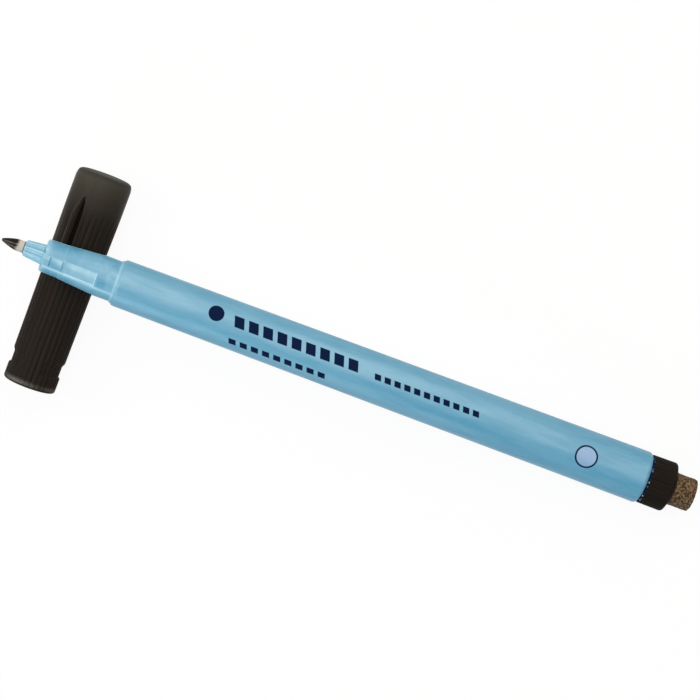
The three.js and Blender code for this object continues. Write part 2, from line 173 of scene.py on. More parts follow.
class PlugSizes(bpy.types.PropertyGroup):
    head_station: size("Head Station", 95.6, "Front of the head")
    head_length: size("Head Length", 4.9, "Out of the barrel")
    head_radius: size("Head Radius", 4.31, "At the barrel")
    flare: size("Flare", 0.05, "Radius gained towards the cork")
    rounding: size("Rounding", 0.45, "Of the rear edge")
    crown: size("Crown", 0.4, "Length of the cone down to the cork")
    # length of the painted reflection of the blue barrel on the plug's front
    ring_length: size("Ring Length", 0.26, "Dark blue ring against the barrel")
    splines: count("Splines", 38, "Round the head")
    spline_depth: size("Spline Depth", 0.11, "Of each groove")
    skirt_station: size("Skirt Station", 85.1, "Front end inside the barrel")
    skirt_radius: size("Skirt Radius", 3.63, "Inside the barrel")
    skirt_wall: size("Skirt Wall", 0.9, "Thickness")
    socket_radius: size("Socket Radius", 3.0, "Round the cork")
    socket_depth: size("Socket Depth", 6.0, "Below the rear end")
    floor: size("Floor", 1.4, "Under the socket")


class CorkSizes(bpy.types.PropertyGroup):
    radius: size("Radius", 2.9, "Of the cork")
    reach: size("Reach", 3.9, "Out of the plug")
    seat: size("Seat", 0.1, "Clearance below the cork")
    rounding: size("Rounding", 0.5, "Of the end's edge")
    pit_depth: size("Pit Depth", 0.09, "Between the grains")
    grain: size("Grain", 0.5, "Across one grain")


class CapSizes(bpy.types.PropertyGroup):
    length: size("Length", 38.5, "From the closed end to the mouth")
    mouth_radius: size("Mouth Radius", 4.6, "Outside")
    taper: size("Taper", 0.32, "Radius gained towards the closed end")
    taper_curve: power("Taper Curve", 1.6, "1 is a straight taper, more is hollower")
    smooth_length: size("Smooth Length", 6.2, "Plain length at the closed end")
    fade_in: size("Fade In", 3.4, "Length over which the flutes reach their depth")
    flutes: count("Flutes", 30, "Round the cap")
    flute_depth: size("Flute Depth", 0.17, "Of each groove")
    flute_azimuth: angle("Flute Azimuth", -8.3, "First groove, from the top")
    flat_radius: size("Flat Radius", 2.4, "Flat disc in the closed end")
    dome: size("Dome", 0.28, "Fall of the closed end's rim")
    corner_radius: size("Corner Radius", 0.55, "Radius lost over the rounded corner")
    corner_length: size("Corner Length", 1.5, "Of the rounded corner")
    rim: size("Rim", 0.5, "Rounding at the mouth")
    chamfer: size("Chamfer", 0.12, "Inside the mouth")
    bore: size("Bore", 3.67, "Radius inside the mouth")
    bore_straight: size("Bore Straight", 34.75, "Station where the bore starts to taper")
    bore_taper: size("Bore Taper", 0.4, "Radius lost towards the closed end")
    end_wall: size("End Wall", 1.4, "Of the closed end")
    waist_station: size("Waist Station", 32.85, "Start of the two side recesses")
    waist_length: size("Waist Length", 2.95, "Of the recesses")
    waist_ramp_front: size("Waist Ramp Front", 0.9, "Slope down into the recess")
    waist_ramp_back: size("Waist Ramp Back", 0.35, "Slope up towards the mouth")
    waist_depth: size("Waist Depth", 0.32, "Of the recesses")
    waist_bridge: angle("Waist Bridge", 20, "Half of what stands at the top and the bottom")


class TongueSizes(bpy.types.PropertyGroup):
    station: size("Station", 4.3, "Of its point")
    length: size("Length", 10.0, "Along the cap")
    half_width: size("Half Width", 1.05, "At its widest")
    tip_offset: size("Tip Offset", 0.4, "Of the point, towards the ditch")
    split: share("Split", -0.02, "Where the ditch meets the tongue, -1 to 1", -1)
    ditch: size("Ditch", 0.5, "Depth beside the tongue")
    point_length: size("Point Length", 4.2, "From the point to the full width")
    tail_length: size("Tail Length", 1.3, "Of the rounded tail")
    height: size("Height", 0.38, "Proud of the cap")
    rooting: size("Rooting", 0.1, "Edge below the cap's surface")
    sink: size("Sink", 0.65, "Into the cap")
    azimuth: angle("Azimuth", 23.7, "From the top")


class SealSizes(bpy.types.PropertyGroup):
    floor_station: size("Floor Station", 15.55, "Outside of its floor")
    floor: size("Floor", 0.8, "Thickness")
    ring_length: size("Ring Length", 1.0, "Ring that seats in the cap")
    ring_radius: size("Ring Radius", 3.35, "Of that ring")
    sleeve_radius: size("Sleeve Radius", 2.96, "Outside of the sleeve")
    room_radius: size("Room Radius", 2.16, "Inside of the sleeve")
    flare_length: size("Flare Length", 0.8, "From the sleeve out to the lip")
    lip_station: size("Lip Station", 24.85, "Start of the wide part")
    lip_radius: size("Lip Radius", 3.45, "Outside at the lip")
    mouth_station: size("Mouth Station", 28.45, "Open end")
    mouth_radius: size("Mouth Radius", 3.49, "Outside at the mouth")
    bore: size("Bore", 3.08, "Inside of the wide part")


class Finishes(bpy.types.PropertyGroup):
    blue_deep: colour("Deep Blue", (0.033, 0.222, 0.362), "Barrel, dark streaks")
    blue_pale: colour("Pale Blue", (0.064, 0.262, 0.402), "Barrel, pearly streaks")
    # painted highlights on the barrel and holder, and a pale tint on the nib's dry skin and on the film
    pale_blue_and_highlight: colour("Blue Edge", (0.50, 0.73, 0.83), "Barrel, thin walls and edges")
    print_ink: colour("Print Ink", (0.0005, 0.008, 0.038), "Printed marks")
    # painted reflection of the blue barrel on the plug's front
    ring: colour("Ring", (0.004, 0.010, 0.034), "Dark blue ring behind the barrel")
    print_fill: colour("Print Fill", (0.30, 0.37, 0.62), "Inside of the outlined mark")
    # pale specks in that painted reflection
    speck: colour("Speck", (0.55, 0.56, 0.66), "Pale specks on the ring behind the barrel")
    nib_skin: colour("Nib Skin", (0.485, 0.415, 0.340), "Nib where it is dry")
    nib_ink: colour("Nib Ink", (0.0045, 0.0025, 0.0018), "Nib where it is inked")
    nib_streak: colour("Nib Streak", (0.10, 0.078, 0.062), "Worn streaks in the ink")
    black: colour("Black", (0.0138, 0.0118, 0.0092), "Cap and plug")
    black_warm: colour("Warm Black", (0.026, 0.0165, 0.0135), "Cap and plug, brown tint")
    # painted highlight colour on the cap: its mouth's rim, one side and the tongue's crest
    black_highlight: colour("Worn Black", (0.125, 0.115, 0.098), "Cap's rim at the mouth")
    black_pale: colour("Pale Black", (0.054, 0.050, 0.040), "Cap's plain end")
    cork_dark: colour("Dark Cork", (0.026, 0.010, 0.004), "Dark grains and gaps")
    cork_brown: colour("Brown Cork", (0.086, 0.045, 0.020), "Most grains")
    cork_pale: colour("Pale Cork", (0.250, 0.170, 0.098), "Light grains")
    fibre: colour("Fibre", (0.013, 0.013, 0.016), "Ink reservoir")
    film: colour("Film", (0.74, 0.78, 0.80), "Reservoir's wrap")


class StageSettings(bpy.types.PropertyGroup):
    camera_place: FloatVectorProperty(
        name="Camera Place", description="Where the photograph's camera stood", subtype="TRANSLATION",
        default=(-6.33 * MM, 47.84 * MM, 481.33 * MM), precision=5)
    camera_turn: angle("Camera Turn", 20.83, "Of the picture about the line of sight")
    camera_tilt: angle("Camera Tilt", 5.012, "Of the line of sight away from straight down, along Y")
    camera_lean: angle("Camera Lean", 0.593, "Of the line of sight away from straight down, along X")
    camera_lens: FloatProperty(name="Lens", description="In millimetres", default=144)
    floor_reach: FloatProperty(name="Floor", description="Half width", default=6.0, unit="LENGTH")
    floor_white: share("Floor White", 0.93, "Share of the floor that shows plain white to the camera")
    world_light: share("World Light", 0.2, "Even light from all round")


class MarkerSettings(bpy.types.PropertyGroup):
    barrel: PointerProperty(type=BarrelSizes)
    holder: PointerProperty(type=HolderSizes)
    nib: PointerProperty(type=NibSizes)
    plug: PointerProperty(type=PlugSizes)
    cork: PointerProperty(type=CorkSizes)
    cap: PointerProperty(type=CapSizes)
    tongue: PointerProperty(type=TongueSizes)
    seal: PointerProperty(type=SealSizes)
    finishes: PointerProperty(type=Finishes)
    stage: PointerProperty(type=StageSettings)


# Turned shapes

def mix(a, b, t):
    return a + (b - a) * t


def smooth(value, start, end):
    """0 before start, 1 after end, and an even curve between them."""
    t = min(1.0, max(0.0, (value - start) / (end - start)))
    return t * t * (3 - 2 * t)


def within(value, start, full, fading, end):
    """0 outside start to end, 1 between full and fading, and even curves between them."""
    return smooth(value, start, full) * (1 - smooth(value, fading, end))


def apart(azimuth, first, copies):
    """Signed angle to the nearest of the copies of a feature."""
    pitch = TURN / copies
    return (azimuth - first + pitch / 2) % pitch - pitch / 2


def arc(start, end, bulge_first, steps=8):
    """Quarter of an ellipse between two profile points; it leaves start along the radius if bulge_first."""
    points = []
    for i in range(1, steps + 1):
        turn = i / steps * TURN / 4
        early = math.sin(turn)
        late = 1 - math.cos(turn)
        radius_share = early if bulge_first else late
        station_share = late if bulge_first else early
        points.append((mix(start[0], end[0], radius_share), mix(start[1], end[1], station_share)))
    return points


def fine(profile, step, low, high):
    """The profile with its stretches between two stations cut into lengths of at most step."""
    points = [profile[0]]
    for (r0, s0), (r1, s1) in zip(profile, profile[1:]):
        in_stretch = min(s0, s1) > low - CLOSE and max(s0, s1) < high + CLOSE
        parts = max(1, math.ceil(abs(s1 - s0) / step)) if in_stretch else 1
        points += [(mix(r0, r1, i / parts), mix(s0, s1, i / parts)) for i in range(1, parts + 1)]
    return points


def with_rows(profile, stations):
    """The profile with extra points where it passes these stations."""
    points = [profile[0]]
    for (r0, s0), (r1, s1) in zip(profile, profile[1:]):
        between = sorted(s for s in stations if s0 + CLOSE < s < s1 - CLOSE)
        points += [(mix(r0, r1, (s - s0) / (s1 - s0)), s) for s in between]
        points.append((r1, s1))
    return points


def turned(name, profile, columns, shift=None):
    """Closed mesh of a profile turned about Y. shift(azimuth, radius, station) may move a point, and says
    how much painted light it gets: a painted highlight above zero, painted shade below zero."""
    points = []
    painted_light = []
    rings = []
    closed = profile[0] == profile[-1]
    for radius, station in profile[:-1] if closed else profile:
        sides = columns if radius > CLOSE else 1
        rings.append(range(len(points), len(points) + sides))
        for i in range(sides):
            azimuth = i * TURN / columns
            r, s, light = shift(azimuth, radius, station) if shift else (radius, station, 0.0)
            points.append((r * math.sin(azimuth), s, r * math.cos(azimuth)))
            painted_light.append(light)
    faces = []
    for low, high in zip(rings, rings[1:] + rings[:1] if closed else rings[1:]):
        for i in range(columns):
            j = (i + 1) % columns
            corners = [low[i % len(low)], low[j % len(low)], high[j % len(high)], high[i % len(high)]]
            faces.append(tuple(dict.fromkeys(corners)))
    return new_mesh(name, points, faces, painted_light)


def new_mesh(name, points, faces, painted_light):
    """Mesh with the painted light and shade of its points."""
    mesh = bpy.data.meshes.new(name)
    mesh.from_pydata(points, [], faces)
    mesh.attributes.new("painted_light", "FLOAT", "POINT").data.foreach_set("value", painted_light)
    return finished(mesh)


def finished(mesh):
    mesh.validate()
    mesh.shade_smooth()
    mesh.set_sharp_from_angle(angle=CREASE)
    return mesh


def add_object(name, data):
    made = bpy.data.objects.new(name, data)
    bpy.context.scene.collection.objects.link(made)
    return made


def place(mesh, where, body, replaced, material):
    """Puts a mesh made in a local frame in its place, as a piece of that body."""
    mesh.transform(where)
    mesh.materials.clear()
    mesh.materials.append(material)
    piece = add_object(mesh.name, mesh)
    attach(piece, body)
    if replaced:
        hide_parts(replaced)


# Node tools

class Value:
    """A node's output, so that sums of outputs are written as plain arithmetic."""

    def __init__(self, socket):
        self.socket = socket
        self.tree = socket.id_data

    def __add__(self, other):
        return calc("ADD", self, other)

    def __sub__(self, other):
        return calc("SUBTRACT", self, other)

    def __rsub__(self, other):
        return calc("SUBTRACT", other, self)

    def __mul__(self, other):
        return calc("MULTIPLY", self, other)

    def __truediv__(self, other):
        return calc("DIVIDE", self, other)

    def __rtruediv__(self, other):
        return calc("DIVIDE", other, self)


def tree_of(values):
    return next(value.tree for value in values if isinstance(value, Value))


def fill(node, inputs):
    """Fills a node's inputs with values or links."""
    for name, value in inputs.items():
        if isinstance(value, Value):
            value.tree.links.new(value.socket, node.inputs[name])
        else:
            node.inputs[name].default_value = value


def put(tree, kind, inputs=None, **settings):
    """Adds a node, sets it and fills its inputs. Returns its outputs, by number and by name."""
    made = tree.nodes.new(kind)
    for name, value in settings.items():
        setattr(made, name, value)
    fill(made, inputs or {})
    return {key: Value(output) for i, output in enumerate(made.outputs) for key in (i, output.name)}


def calc(operation, *values, clamp=False):
    inputs = dict(enumerate(values))
    return put(tree_of(values), "ShaderNodeMath", inputs, operation=operation, use_clamp=clamp)[0]


def vector(operation, inputs):
    return put(inputs[0].tree, "ShaderNodeVectorMath", inputs, operation=operation)


def ramp(value, low, high, start=0.0, end=1.0):
    """start below low, end above high, and a smooth change between them."""
    inputs = {"Value": value, "From Min": low, "From Max": high, "To Min": start, "To Max": end}
    return put(value.tree, "ShaderNodeMapRange", inputs, interpolation_type="SMOOTHSTEP")[0]


def noise(position, scale, detail, roughness=0.5):
    inputs = {"Vector": position, "Scale": scale, "Detail": detail, "Roughness": roughness}
    return put(position.tree, "ShaderNodeTexNoise", inputs)[0]


def station_of(position):
    return put(position.tree, "ShaderNodeSeparateXYZ", {0: position})["Y"]


def axis_parts(position):
    """Outward direction, azimuth, radius and station of a position about Y."""
    parts = put(position.tree, "ShaderNodeSeparateXYZ", {0: position})
    flat = put(position.tree, "ShaderNodeCombineXYZ", {"X": parts["X"], "Z": parts["Z"]})[0]
    outward = vector("NORMALIZE", {0: flat})[0]
    radius = vector("LENGTH", {0: flat})["Value"]
    return outward, calc("ARCTAN2", parts["X"], parts["Z"]), radius, parts["Y"]


SOCKET_KINDS = {
    "Geometry": "NodeSocketGeometry",
    "Material": "NodeSocketMaterial",
    "Vector": "NodeSocketVector",
}


def node_tree(name, kind, inputs, outputs):
    """Empty node group with its inputs and its end. A socket that SOCKET_KINDS doesn't list is a number."""
    tree = bpy.data.node_groups.new(name, kind)
    for in_out, labels in (("INPUT", inputs), ("OUTPUT", outputs)):
        for label in labels:
            socket_kind = SOCKET_KINDS.get(label, "NodeSocketFloat")
            tree.interface.new_socket(name=label, in_out=in_out, socket_type=socket_kind)
    return tree, put(tree, "NodeGroupInput"), tree.nodes.new("NodeGroupOutput")


# Geometry Nodes: grooves round a turned shape, and the pitted surface of cork

def sink(given, out, direction, depth):
    """Ends a tree that sinks the given surface against a direction."""
    tree = direction.tree
    offset = vector("SCALE", {0: direction, "Scale": depth * -1.0})[0]
    moved = put(tree, "GeometryNodeSetPosition", {"Geometry": given["Geometry"], "Offset": offset})[0]
    real = put(tree, "GeometryNodeRealizeInstances", {"Geometry": moved})[0]
    painted = put(tree, "GeometryNodeSetMaterial", {"Geometry": real, "Material": given["Material"]})[0]
    fill(out, {"Geometry": painted})
    return tree


@cache
def grooves_tree():
    """Even grooves along a turned shape, faded in and out along its axis."""
    labels = ("Geometry", "Count", "First", "Depth", "Half Width", "Start", "Fade In", "End", "Fade Out",
              "Inside", "Material")
    tree, given, out = node_tree("grooves", "GeometryNodeTree", labels, ("Geometry",))
    outward, azimuth, radius, station = axis_parts(put(tree, "GeometryNodeInputPosition")[0])
    pitches = (azimuth - given["First"]) / TURN * given["Count"]
    from_groove = calc("ABSOLUTE", pitches - calc("ROUND", pitches))
    groove = ramp(from_groove, 0.0, given["Half Width"], 1.0, 0.0)
    begun = ramp(station, given["Start"], given["Start"] + given["Fade In"])
    left = ramp(station, given["End"] - given["Fade Out"], given["End"], 1.0, 0.0)
    outside = calc("GREATER_THAN", radius, given["Inside"])
    return sink(given, out, outward, groove * outside * (begun * left) * given["Depth"])


@cache
def pits_tree():
    """Pits between the pressed grains of cork, sunk inwards, with a fixed seed."""
    labels = ("Geometry", "Grain", "Depth", "Start", "Seed", "Material")
    tree, given, out = node_tree("cork_pits", "GeometryNodeTree", labels, ("Geometry",))
    position = put(tree, "GeometryNodeInputPosition")[0]
    spread = {"Vector": position, "W": given["Seed"], "Scale": 1.0 / given["Grain"]}
    gaps = put(tree, "ShaderNodeTexVoronoi", spread, voronoi_dimensions="4D")["Distance"]
    crumbs = put(tree, "ShaderNodeTexNoise", {**spread, "Detail": 3.0}, noise_dimensions="4D")[0]
    rough = ramp(gaps, 0.25, 0.75) * 0.6 + crumbs * 0.4
    begun = ramp(station_of(position), given["Start"], given["Start"] + given["Grain"])
    normal = put(tree, "GeometryNodeInputNormal")[0]
    return sink(given, out, normal, rough * begun * given["Depth"])


def shaped(mesh, tree, material, values):
    """Runs a Geometry Nodes tree on a mesh and returns the plain result."""
    name = mesh.name
    holder = add_object(name, mesh)
    modifier = holder.modifiers.new(tree.name, "NODES")
    modifier.node_group = tree
    sockets = {item.name: item.identifier for item in tree.interface.items_tree if item.in_out == "INPUT"}
    for label, value in {**values, "Material": material}.items():
        modifier[sockets[label]] = value
    graph = bpy.context.evaluated_depsgraph_get()
    made = bpy.data.meshes.new_from_object(holder.evaluated_get(graph))
    holder.modifiers.clear()
    bpy.data.objects.remove(holder)
    bpy.data.meshes.remove(mesh)
    made.name = name
    return finished(made)


# Shader groups

@cache
def pearl_streaks():
    """Soft streaks along Y, as pearl pigment lies in a drawn tube."""
    labels = ("Vector", "Streak Length", "Streak Width")
    tree, given, out = node_tree("pearl_streaks", "ShaderNodeTree", labels, ("Streaks", "Flakes"))
    across = 1.0 / given["Streak Width"]
    along = 1.0 / given["Streak Length"]
    scale = put(tree, "ShaderNodeCombineXYZ", {"X": across, "Y": along, "Z": across})[0]
    stretched = vector("MULTIPLY", {0: given["Vector"], 1: scale})[0]
    both = noise(stretched, 1.0, 4.0, 0.6) * 0.5 + noise(stretched, 0.23, 2.0) * 0.5
    fill(out, {"Streaks": ramp(both, 0.38, 0.62), "Flakes": noise(given["Vector"], 7.0, 2.0)})
    return tree


@cache
def moulded_grain():
    """Fine moulded grain as a height, and light handling marks as a change of roughness."""
    labels = ("Vector", "Grain Size", "Roughness", "Spread")
    results = ("Height", "Roughness", "Patches")
    tree, given, out = node_tree("moulded_grain", "ShaderNodeTree", labels, results)
    height = noise(given["Vector"], 1.0 / given["Grain Size"], 3.0)
    patches = noise(given["Vector"], 0.35, 4.0)
    roughness = given["Roughness"] + (patches - 0.5) * given["Spread"]
    fill(out, {"Height": height, "Roughness": roughness, "Patches": patches})
    return tree


def group(make, position, inputs):
    return put(position.tree, "ShaderNodeGroup", {"Vector": position, **inputs}, node_tree=make())


def streaks_of(position, length, width):
    return group(pearl_streaks, position, {"Streak Length": length, "Streak Width": width})


def grain_of(position, size, roughness, spread):
    return group(moulded_grain, position, {"Grain Size": size, "Roughness": roughness, "Spread": spread})


# Places of the colour sockets on a Mix node
MIX_FACTOR = 0
MIX_A = 6
MIX_B = 7
MIX_RESULT = 2


def new_material(name, where):
    """Material, its shader, and the position in the local frame, in millimetres."""
    material = bpy.data.materials.new(name)
    material.use_nodes = True
    tree = material.node_tree
    spot, turn, _ = where.decompose()
    inputs = {
        "Vector": put(tree, "ShaderNodeTexCoord")["Object"],
        "Location": spot,
        "Rotation": turn.to_euler(),
        "Scale": (MM, MM, MM),
    }
    position = put(tree, "ShaderNodeMapping", inputs, vector_type="TEXTURE")[0]
    return material, tree.nodes["Principled BSDF"], position


def blended(amount, a, b):
    """Mixes two colours, given as outputs or as rgb."""
    colours = [value if isinstance(value, Value) else (*value, 1.0) for value in (a, b)]
    inputs = {MIX_FACTOR: amount, MIX_A: colours[0], MIX_B: colours[1]}
    return put(tree_of(inputs.values()), "ShaderNodeMix", inputs, data_type="RGBA")[MIX_RESULT]


def bumped(height, strength, distance):
    inputs = {"Height": height, "Strength": strength, "Distance": distance}
    return put(height.tree, "ShaderNodeBump", inputs)[0]


# Painted highlights above zero and painted shade below zero, carried by the meshes
def painted_light_of(position):
    return put(position.tree, "ShaderNodeAttribute", attribute_name="painted_light")["Fac"]


# Printed marks: a disc, three rows of slanted blocks and an outlined ring, in millimetres on the barrel

MARK_SOFTNESS = 0.05
MARK_SLANT = -0.3
MARK_ROWS = (
    {"Azimuth": -15.5, "Start": 20.2, "Pitch": 2.55, "Blocks": 9, "Length": 1.75, "Half Height": 0.95},
    {"Azimuth": 35.0, "Start": 20.4, "Pitch": 2.0, "Blocks": 9, "Length": 1.3, "Half Height": 0.55},
    {"Azimuth": -8.5, "Start": 45.5, "Pitch": 1.77, "Blocks": 11, "Length": 1.15, "Half Height": 0.5},
)
DISC = {"Azimuth": -18.0, "Station": 16.9, "Radius": 1.35}
RING = {"Azimuth": -5.0, "Station": 84.0, "Radius": 2.0}
RING_LINE = 0.3


def around(given):
    """Distance round the barrel from the line at the given azimuth, and the station."""
    _, azimuth, radius, station = axis_parts(given["Vector"])
    return (azimuth - calc("RADIANS", given["Azimuth"])) * radius, station


def inside(distance, limit):
    return ramp(limit - distance, -MARK_SOFTNESS, MARK_SOFTNESS)


@cache
def block_row():
    """Mask of a row of slanted blocks."""
    labels = ("Vector", "Azimuth", "Start", "Pitch", "Blocks", "Length", "Half Height", "Slant")
    tree, given, out = node_tree("block_row", "ShaderNodeTree", labels, ("Mask",))
    side, station = around(given)
    pitches = (station + side * given["Slant"] - given["Start"]) / given["Pitch"]
    block = calc("FLOOR", pitches)
    within_row = calc("GREATER_THAN", block, -0.5) * calc("LESS_THAN", block, given["Blocks"] - 0.5)
    half = given["Length"] * 0.5
    from_middle = calc("ABSOLUTE", (pitches - block) * given["Pitch"] - half)
    mask = inside(from_middle, half) * inside(calc("ABSOLUTE", side), given["Half Height"])
    fill(out, {"Mask": mask * within_row})
    return tree


@cache
def disc():
    """Mask of a disc."""
    labels = ("Vector", "Azimuth", "Station", "Radius")
    tree, given, out = node_tree("disc", "ShaderNodeTree", labels, ("Mask",))
    side, station = around(given)
    run = station - given["Station"]
    fill(out, {"Mask": inside(calc("SQRT", run * run + side * side), given["Radius"])})
    return tree


def printed_marks(position):
    """Masks of the ink and of the ring's middle."""
    ink = group(disc, position, DISC)["Mask"]
    for row in MARK_ROWS:
        ink = calc("MAXIMUM", ink, group(block_row, position, {"Slant": MARK_SLANT, **row})["Mask"])
    outer = group(disc, position, RING)["Mask"]
    middle = group(disc, position, {**RING, "Radius": RING["Radius"] - RING_LINE})["Mask"]
    return calc("MAXIMUM", ink, calc("SUBTRACT", outer, middle, clamp=True)), middle


# Finishes. Their numbers are shares, azimuths in radians, and grain sizes and stations in millimetres.

def blue_plastic(finishes, name, printed, paler=0.0):
    """Pearly blue with streaks and flakes, paler in clouds on the front, and with the painted highlights that
    the mesh carries.
    """
    material, shader, position = new_material(name, MARKER)
    pearl = streaks_of(position, 6.0, 0.9)
    grain = grain_of(position, 0.12, 0.41, 0.12)
    shade = pearl["Streaks"] * 0.6 + ramp(pearl["Flakes"], 0.3, 0.7) * 0.4
    base = blended(shade, finishes.blue_deep, finishes.blue_pale)
    clouds = ramp(noise(position, 0.6, 3.0), 0.45, 0.75) * ramp(station_of(position), -3.0, 1.0, 0.13, 0.0)
    # painted highlights from the mesh, added to the real clouds and the part's own lighter tone
    base = blended(painted_light_of(position) + (clouds + paler), base, finishes.pale_blue_and_highlight)
    sheen = pearl["Streaks"] * 0.14 + 0.52
    if printed:
        ink, middle = printed_marks(position)
        sheen = sheen * (1.0 - ink)
        base = blended(middle * 0.5, base, finishes.print_fill)
        base = blended(ink, base, finishes.print_ink)
    fill(shader, {
        "Base Color": base, "Roughness": grain["Roughness"], "Coat Weight": sheen, "Coat Roughness": 0.46,
        "Coat IOR": 2.2, "Specular IOR Level": 0.03, "Normal": bumped(grain["Height"], 0.2, 0.01 * MM)})
    return material


def black_plastic(finishes, name, where, roughness, plain_until=None, blue_reflection_until=None):
    """Warm black with a painted highlight where the mesh's painted light is above zero, and painted shade,
    deeper and rougher, where it is below zero.
    Before the station plain_until it is paler and glossier. Where a blue band is asked for, the whole black
    is made darker as painted shade, and before the band's end station it is a speckled dark blue band, a
    painted reflection of the blue barrel."""
    material, shader, position = new_material(name, where)
    grain = grain_of(position, 0.1, roughness, 0.2)
    rough = grain["Roughness"]
    painted_light = painted_light_of(position)
    streaks = streaks_of(position, 14.0, 0.45)["Streaks"]
    base = blended(streaks * 0.6, finishes.black, finishes.black_warm)
    # painted highlight where the mesh's painted light is above zero, patchy
    base = blended(painted_light * ramp(grain["Patches"], 0.35, 0.6, 0.4), base, finishes.black_highlight)
    if plain_until:
        plain = ramp(station_of(position) + grain["Patches"] * 2.0, -0.5, plain_until, 1.0, 0.0)
        base = blended(plain, base, finishes.black_pale)
        rough = rough - plain * 0.08
    # painted reflection of the blue barrel, in a speckled dark blue band
    if blue_reflection_until:
        specks = noise(position, 2.2, 3.0)
        ring = blended(ramp(specks, 0.61, 0.68), finishes.ring, finishes.speck)
        uneven = station_of(position) + (specks - 0.5) * 0.6
        # painted shade: the whole black made darker
        base = blended(0.3, base, (0.0, 0.0, 0.0))
        base = blended(ramp(uneven, blue_reflection_until - 0.06, blue_reflection_until + 0.06, 1.0, 0.0), base, ring)
    # painted shade where the mesh's painted light is below zero, also rougher
    shaded = calc("MULTIPLY", painted_light, -0.8, clamp=True)
    base = blended(shaded, base, (0.001, 0.001, 0.001))
    rough = calc("ADD", rough, shaded * 0.7, clamp=True)
    fill(shader, {"Base Color": base, "Roughness": rough, "Specular IOR Level": 0.025,
                  "Normal": bumped(grain["Height"], 0.35, 0.012 * MM)})
    return material


BARE_LINES = (-2.7, -1.4, -0.12, 0.5, 2.1)    # azimuths where the nib's ink is rubbed thin


def nib_plastic(finishes, ink_edge, mouth_at):
    """Cream plastic skin, black where ink has come out of its channels, with a soft ragged edge, and darker
    in a thin line where it enters the holder's mouth."""
    material, shader, position = new_material("inked_nib", MARKER)
    grain = grain_of(position, 0.09, 0.5, 0.2)
    streaks = streaks_of(position, 2.6, 0.34)["Streaks"]
    _, azimuth, _, station = axis_parts(position)
    bare = 0.0
    for line in BARE_LINES:
        bare = calc("MAXIMUM", bare, ramp(calc("ABSOLUTE", azimuth - line), 0.07, 0.26, 1.0, 0.0))
    bare = bare * ramp(streaks, 0.0, 0.6, 0.35)
    dry = ramp(station + (streaks - 0.5) * 0.35, ink_edge / MM - 0.35, ink_edge / MM + 0.3)
    # darker in a thin line at the holder's mouth
    dry = dry * ramp(station, mouth_at / MM - 0.22, mouth_at / MM - 0.1, 1.0, 0.15)
    inked = blended(bare, finishes.nib_ink, finishes.nib_streak)
    skin = blended(grain["Patches"] * 0.3, finishes.nib_skin, finishes.pale_blue_and_highlight)
    fill(shader, {"Base Color": blended(dry, inked, skin), "Roughness": grain["Roughness"],
                  "Specular IOR Level": 0.1, "Normal": bumped(streaks, 0.3, 0.03 * MM)})
    return material


def cork(finishes):
    """Pressed grains of cork, each in its own brown, with dark gaps."""
    material, shader, position = new_material("pressed_cork", MARKER)
    tree = position.tree
    grains = put(tree, "ShaderNodeTexVoronoi", {"Vector": position, "Scale": 3.9})
    specks = put(tree, "ShaderNodeTexVoronoi", {"Vector": position, "Scale": 6.5})
    crumbs = noise(position, 2.5, 4.0, 0.65)
    tint = put(tree, "ShaderNodeSeparateColor", {"Color": grains["Color"]})[0]
    fleck = put(tree, "ShaderNodeSeparateColor", {"Color": specks["Color"]})[1]
    base = blended(ramp(tint * 0.55 + crumbs * 0.45, 0.25, 0.75), finishes.cork_brown, finishes.cork_pale)
    gaps = ramp(grains["Distance"], 0.5, 0.8) * 0.45
    dark = calc("MAXIMUM", calc("MAXIMUM", ramp(fleck, 0.8, 0.86), gaps), ramp(crumbs, 0.5, 0.43))
    base = blended(dark * 0.88, base, finishes.cork_dark)
    fill(shader, {"Base Color": base, "Roughness": 0.85, "Specular IOR Level": 0.15,
                  "Normal": bumped(crumbs, 0.6, 0.12 * MM)})
    return material


def fibre(finishes):
    """Bundled fibres, dark with ink."""
    material, shader, position = new_material("inked_fibre", MARKER)
    streaks = streaks_of(position, 20.0, 0.12)["Streaks"]
    base = blended(streaks, finishes.fibre, finishes.black_pale)
    fill(shader, {"Base Color": base, "Roughness": 0.9, "Normal": bumped(streaks, 0.5, 0.03 * MM)})
    return material


def film(finishes):
    """Pale plastic film."""
    material, shader, position = new_material("wrap_film", MARKER)
    grain = grain_of(position, 1.2, 0.2, 0.2)
    base = blended(grain["Patches"], finishes.film, finishes.pale_blue_and_highlight)
    fill(shader, {"Base Color": base, "Roughness": grain["Roughness"],
                  "Normal": bumped(grain["Height"], 0.2, 0.05 * MM)})
    return material


# Barrel

HIGHLIGHT_DEPTH = 0.35 * MM              # depth below the outside within which the painted highlights lie
LINE_WIDTH = 0.2 * MM         # of a painted highlight line along an edge
SHOULDER_FADE = 0.3 * MM      # length over which the shoulder's painted highlight line fades
SLOPE_FADE = 1.3 * MM         # and the painted highlight on the slope behind it
WALL_HALF = 0.02 * MM         # half of the length over which a wall across the barrel drops
RUN_IN = 0.4 * MM             # length over which a pocket's front begins


class Pale:
    """Painted highlights on the barrel's walls and edges, and its other painted lights, from 0 to 1."""

    rear_edge = 0.06
    front_edge = 0.28
    collar_line = 0.1
    cone_line = 0.05
    shoulder_line = 0.42
    shoulder_slope = 0.22
    band = 0.36
    band_at_collar = 1.35        # times the band on the cone
    flank = 0.13
    stripe = 0.1
    patch_front = 0.17
    patch_rear = 0.41
    pad_upper = 0.42
    pad_lower = 0.18
    pocket_upper = 0.54
    pocket_lower = 0.26
    pocket_wall = 0.8
    pocket_front = 0.5           # times the pocket's own, where its floor begins


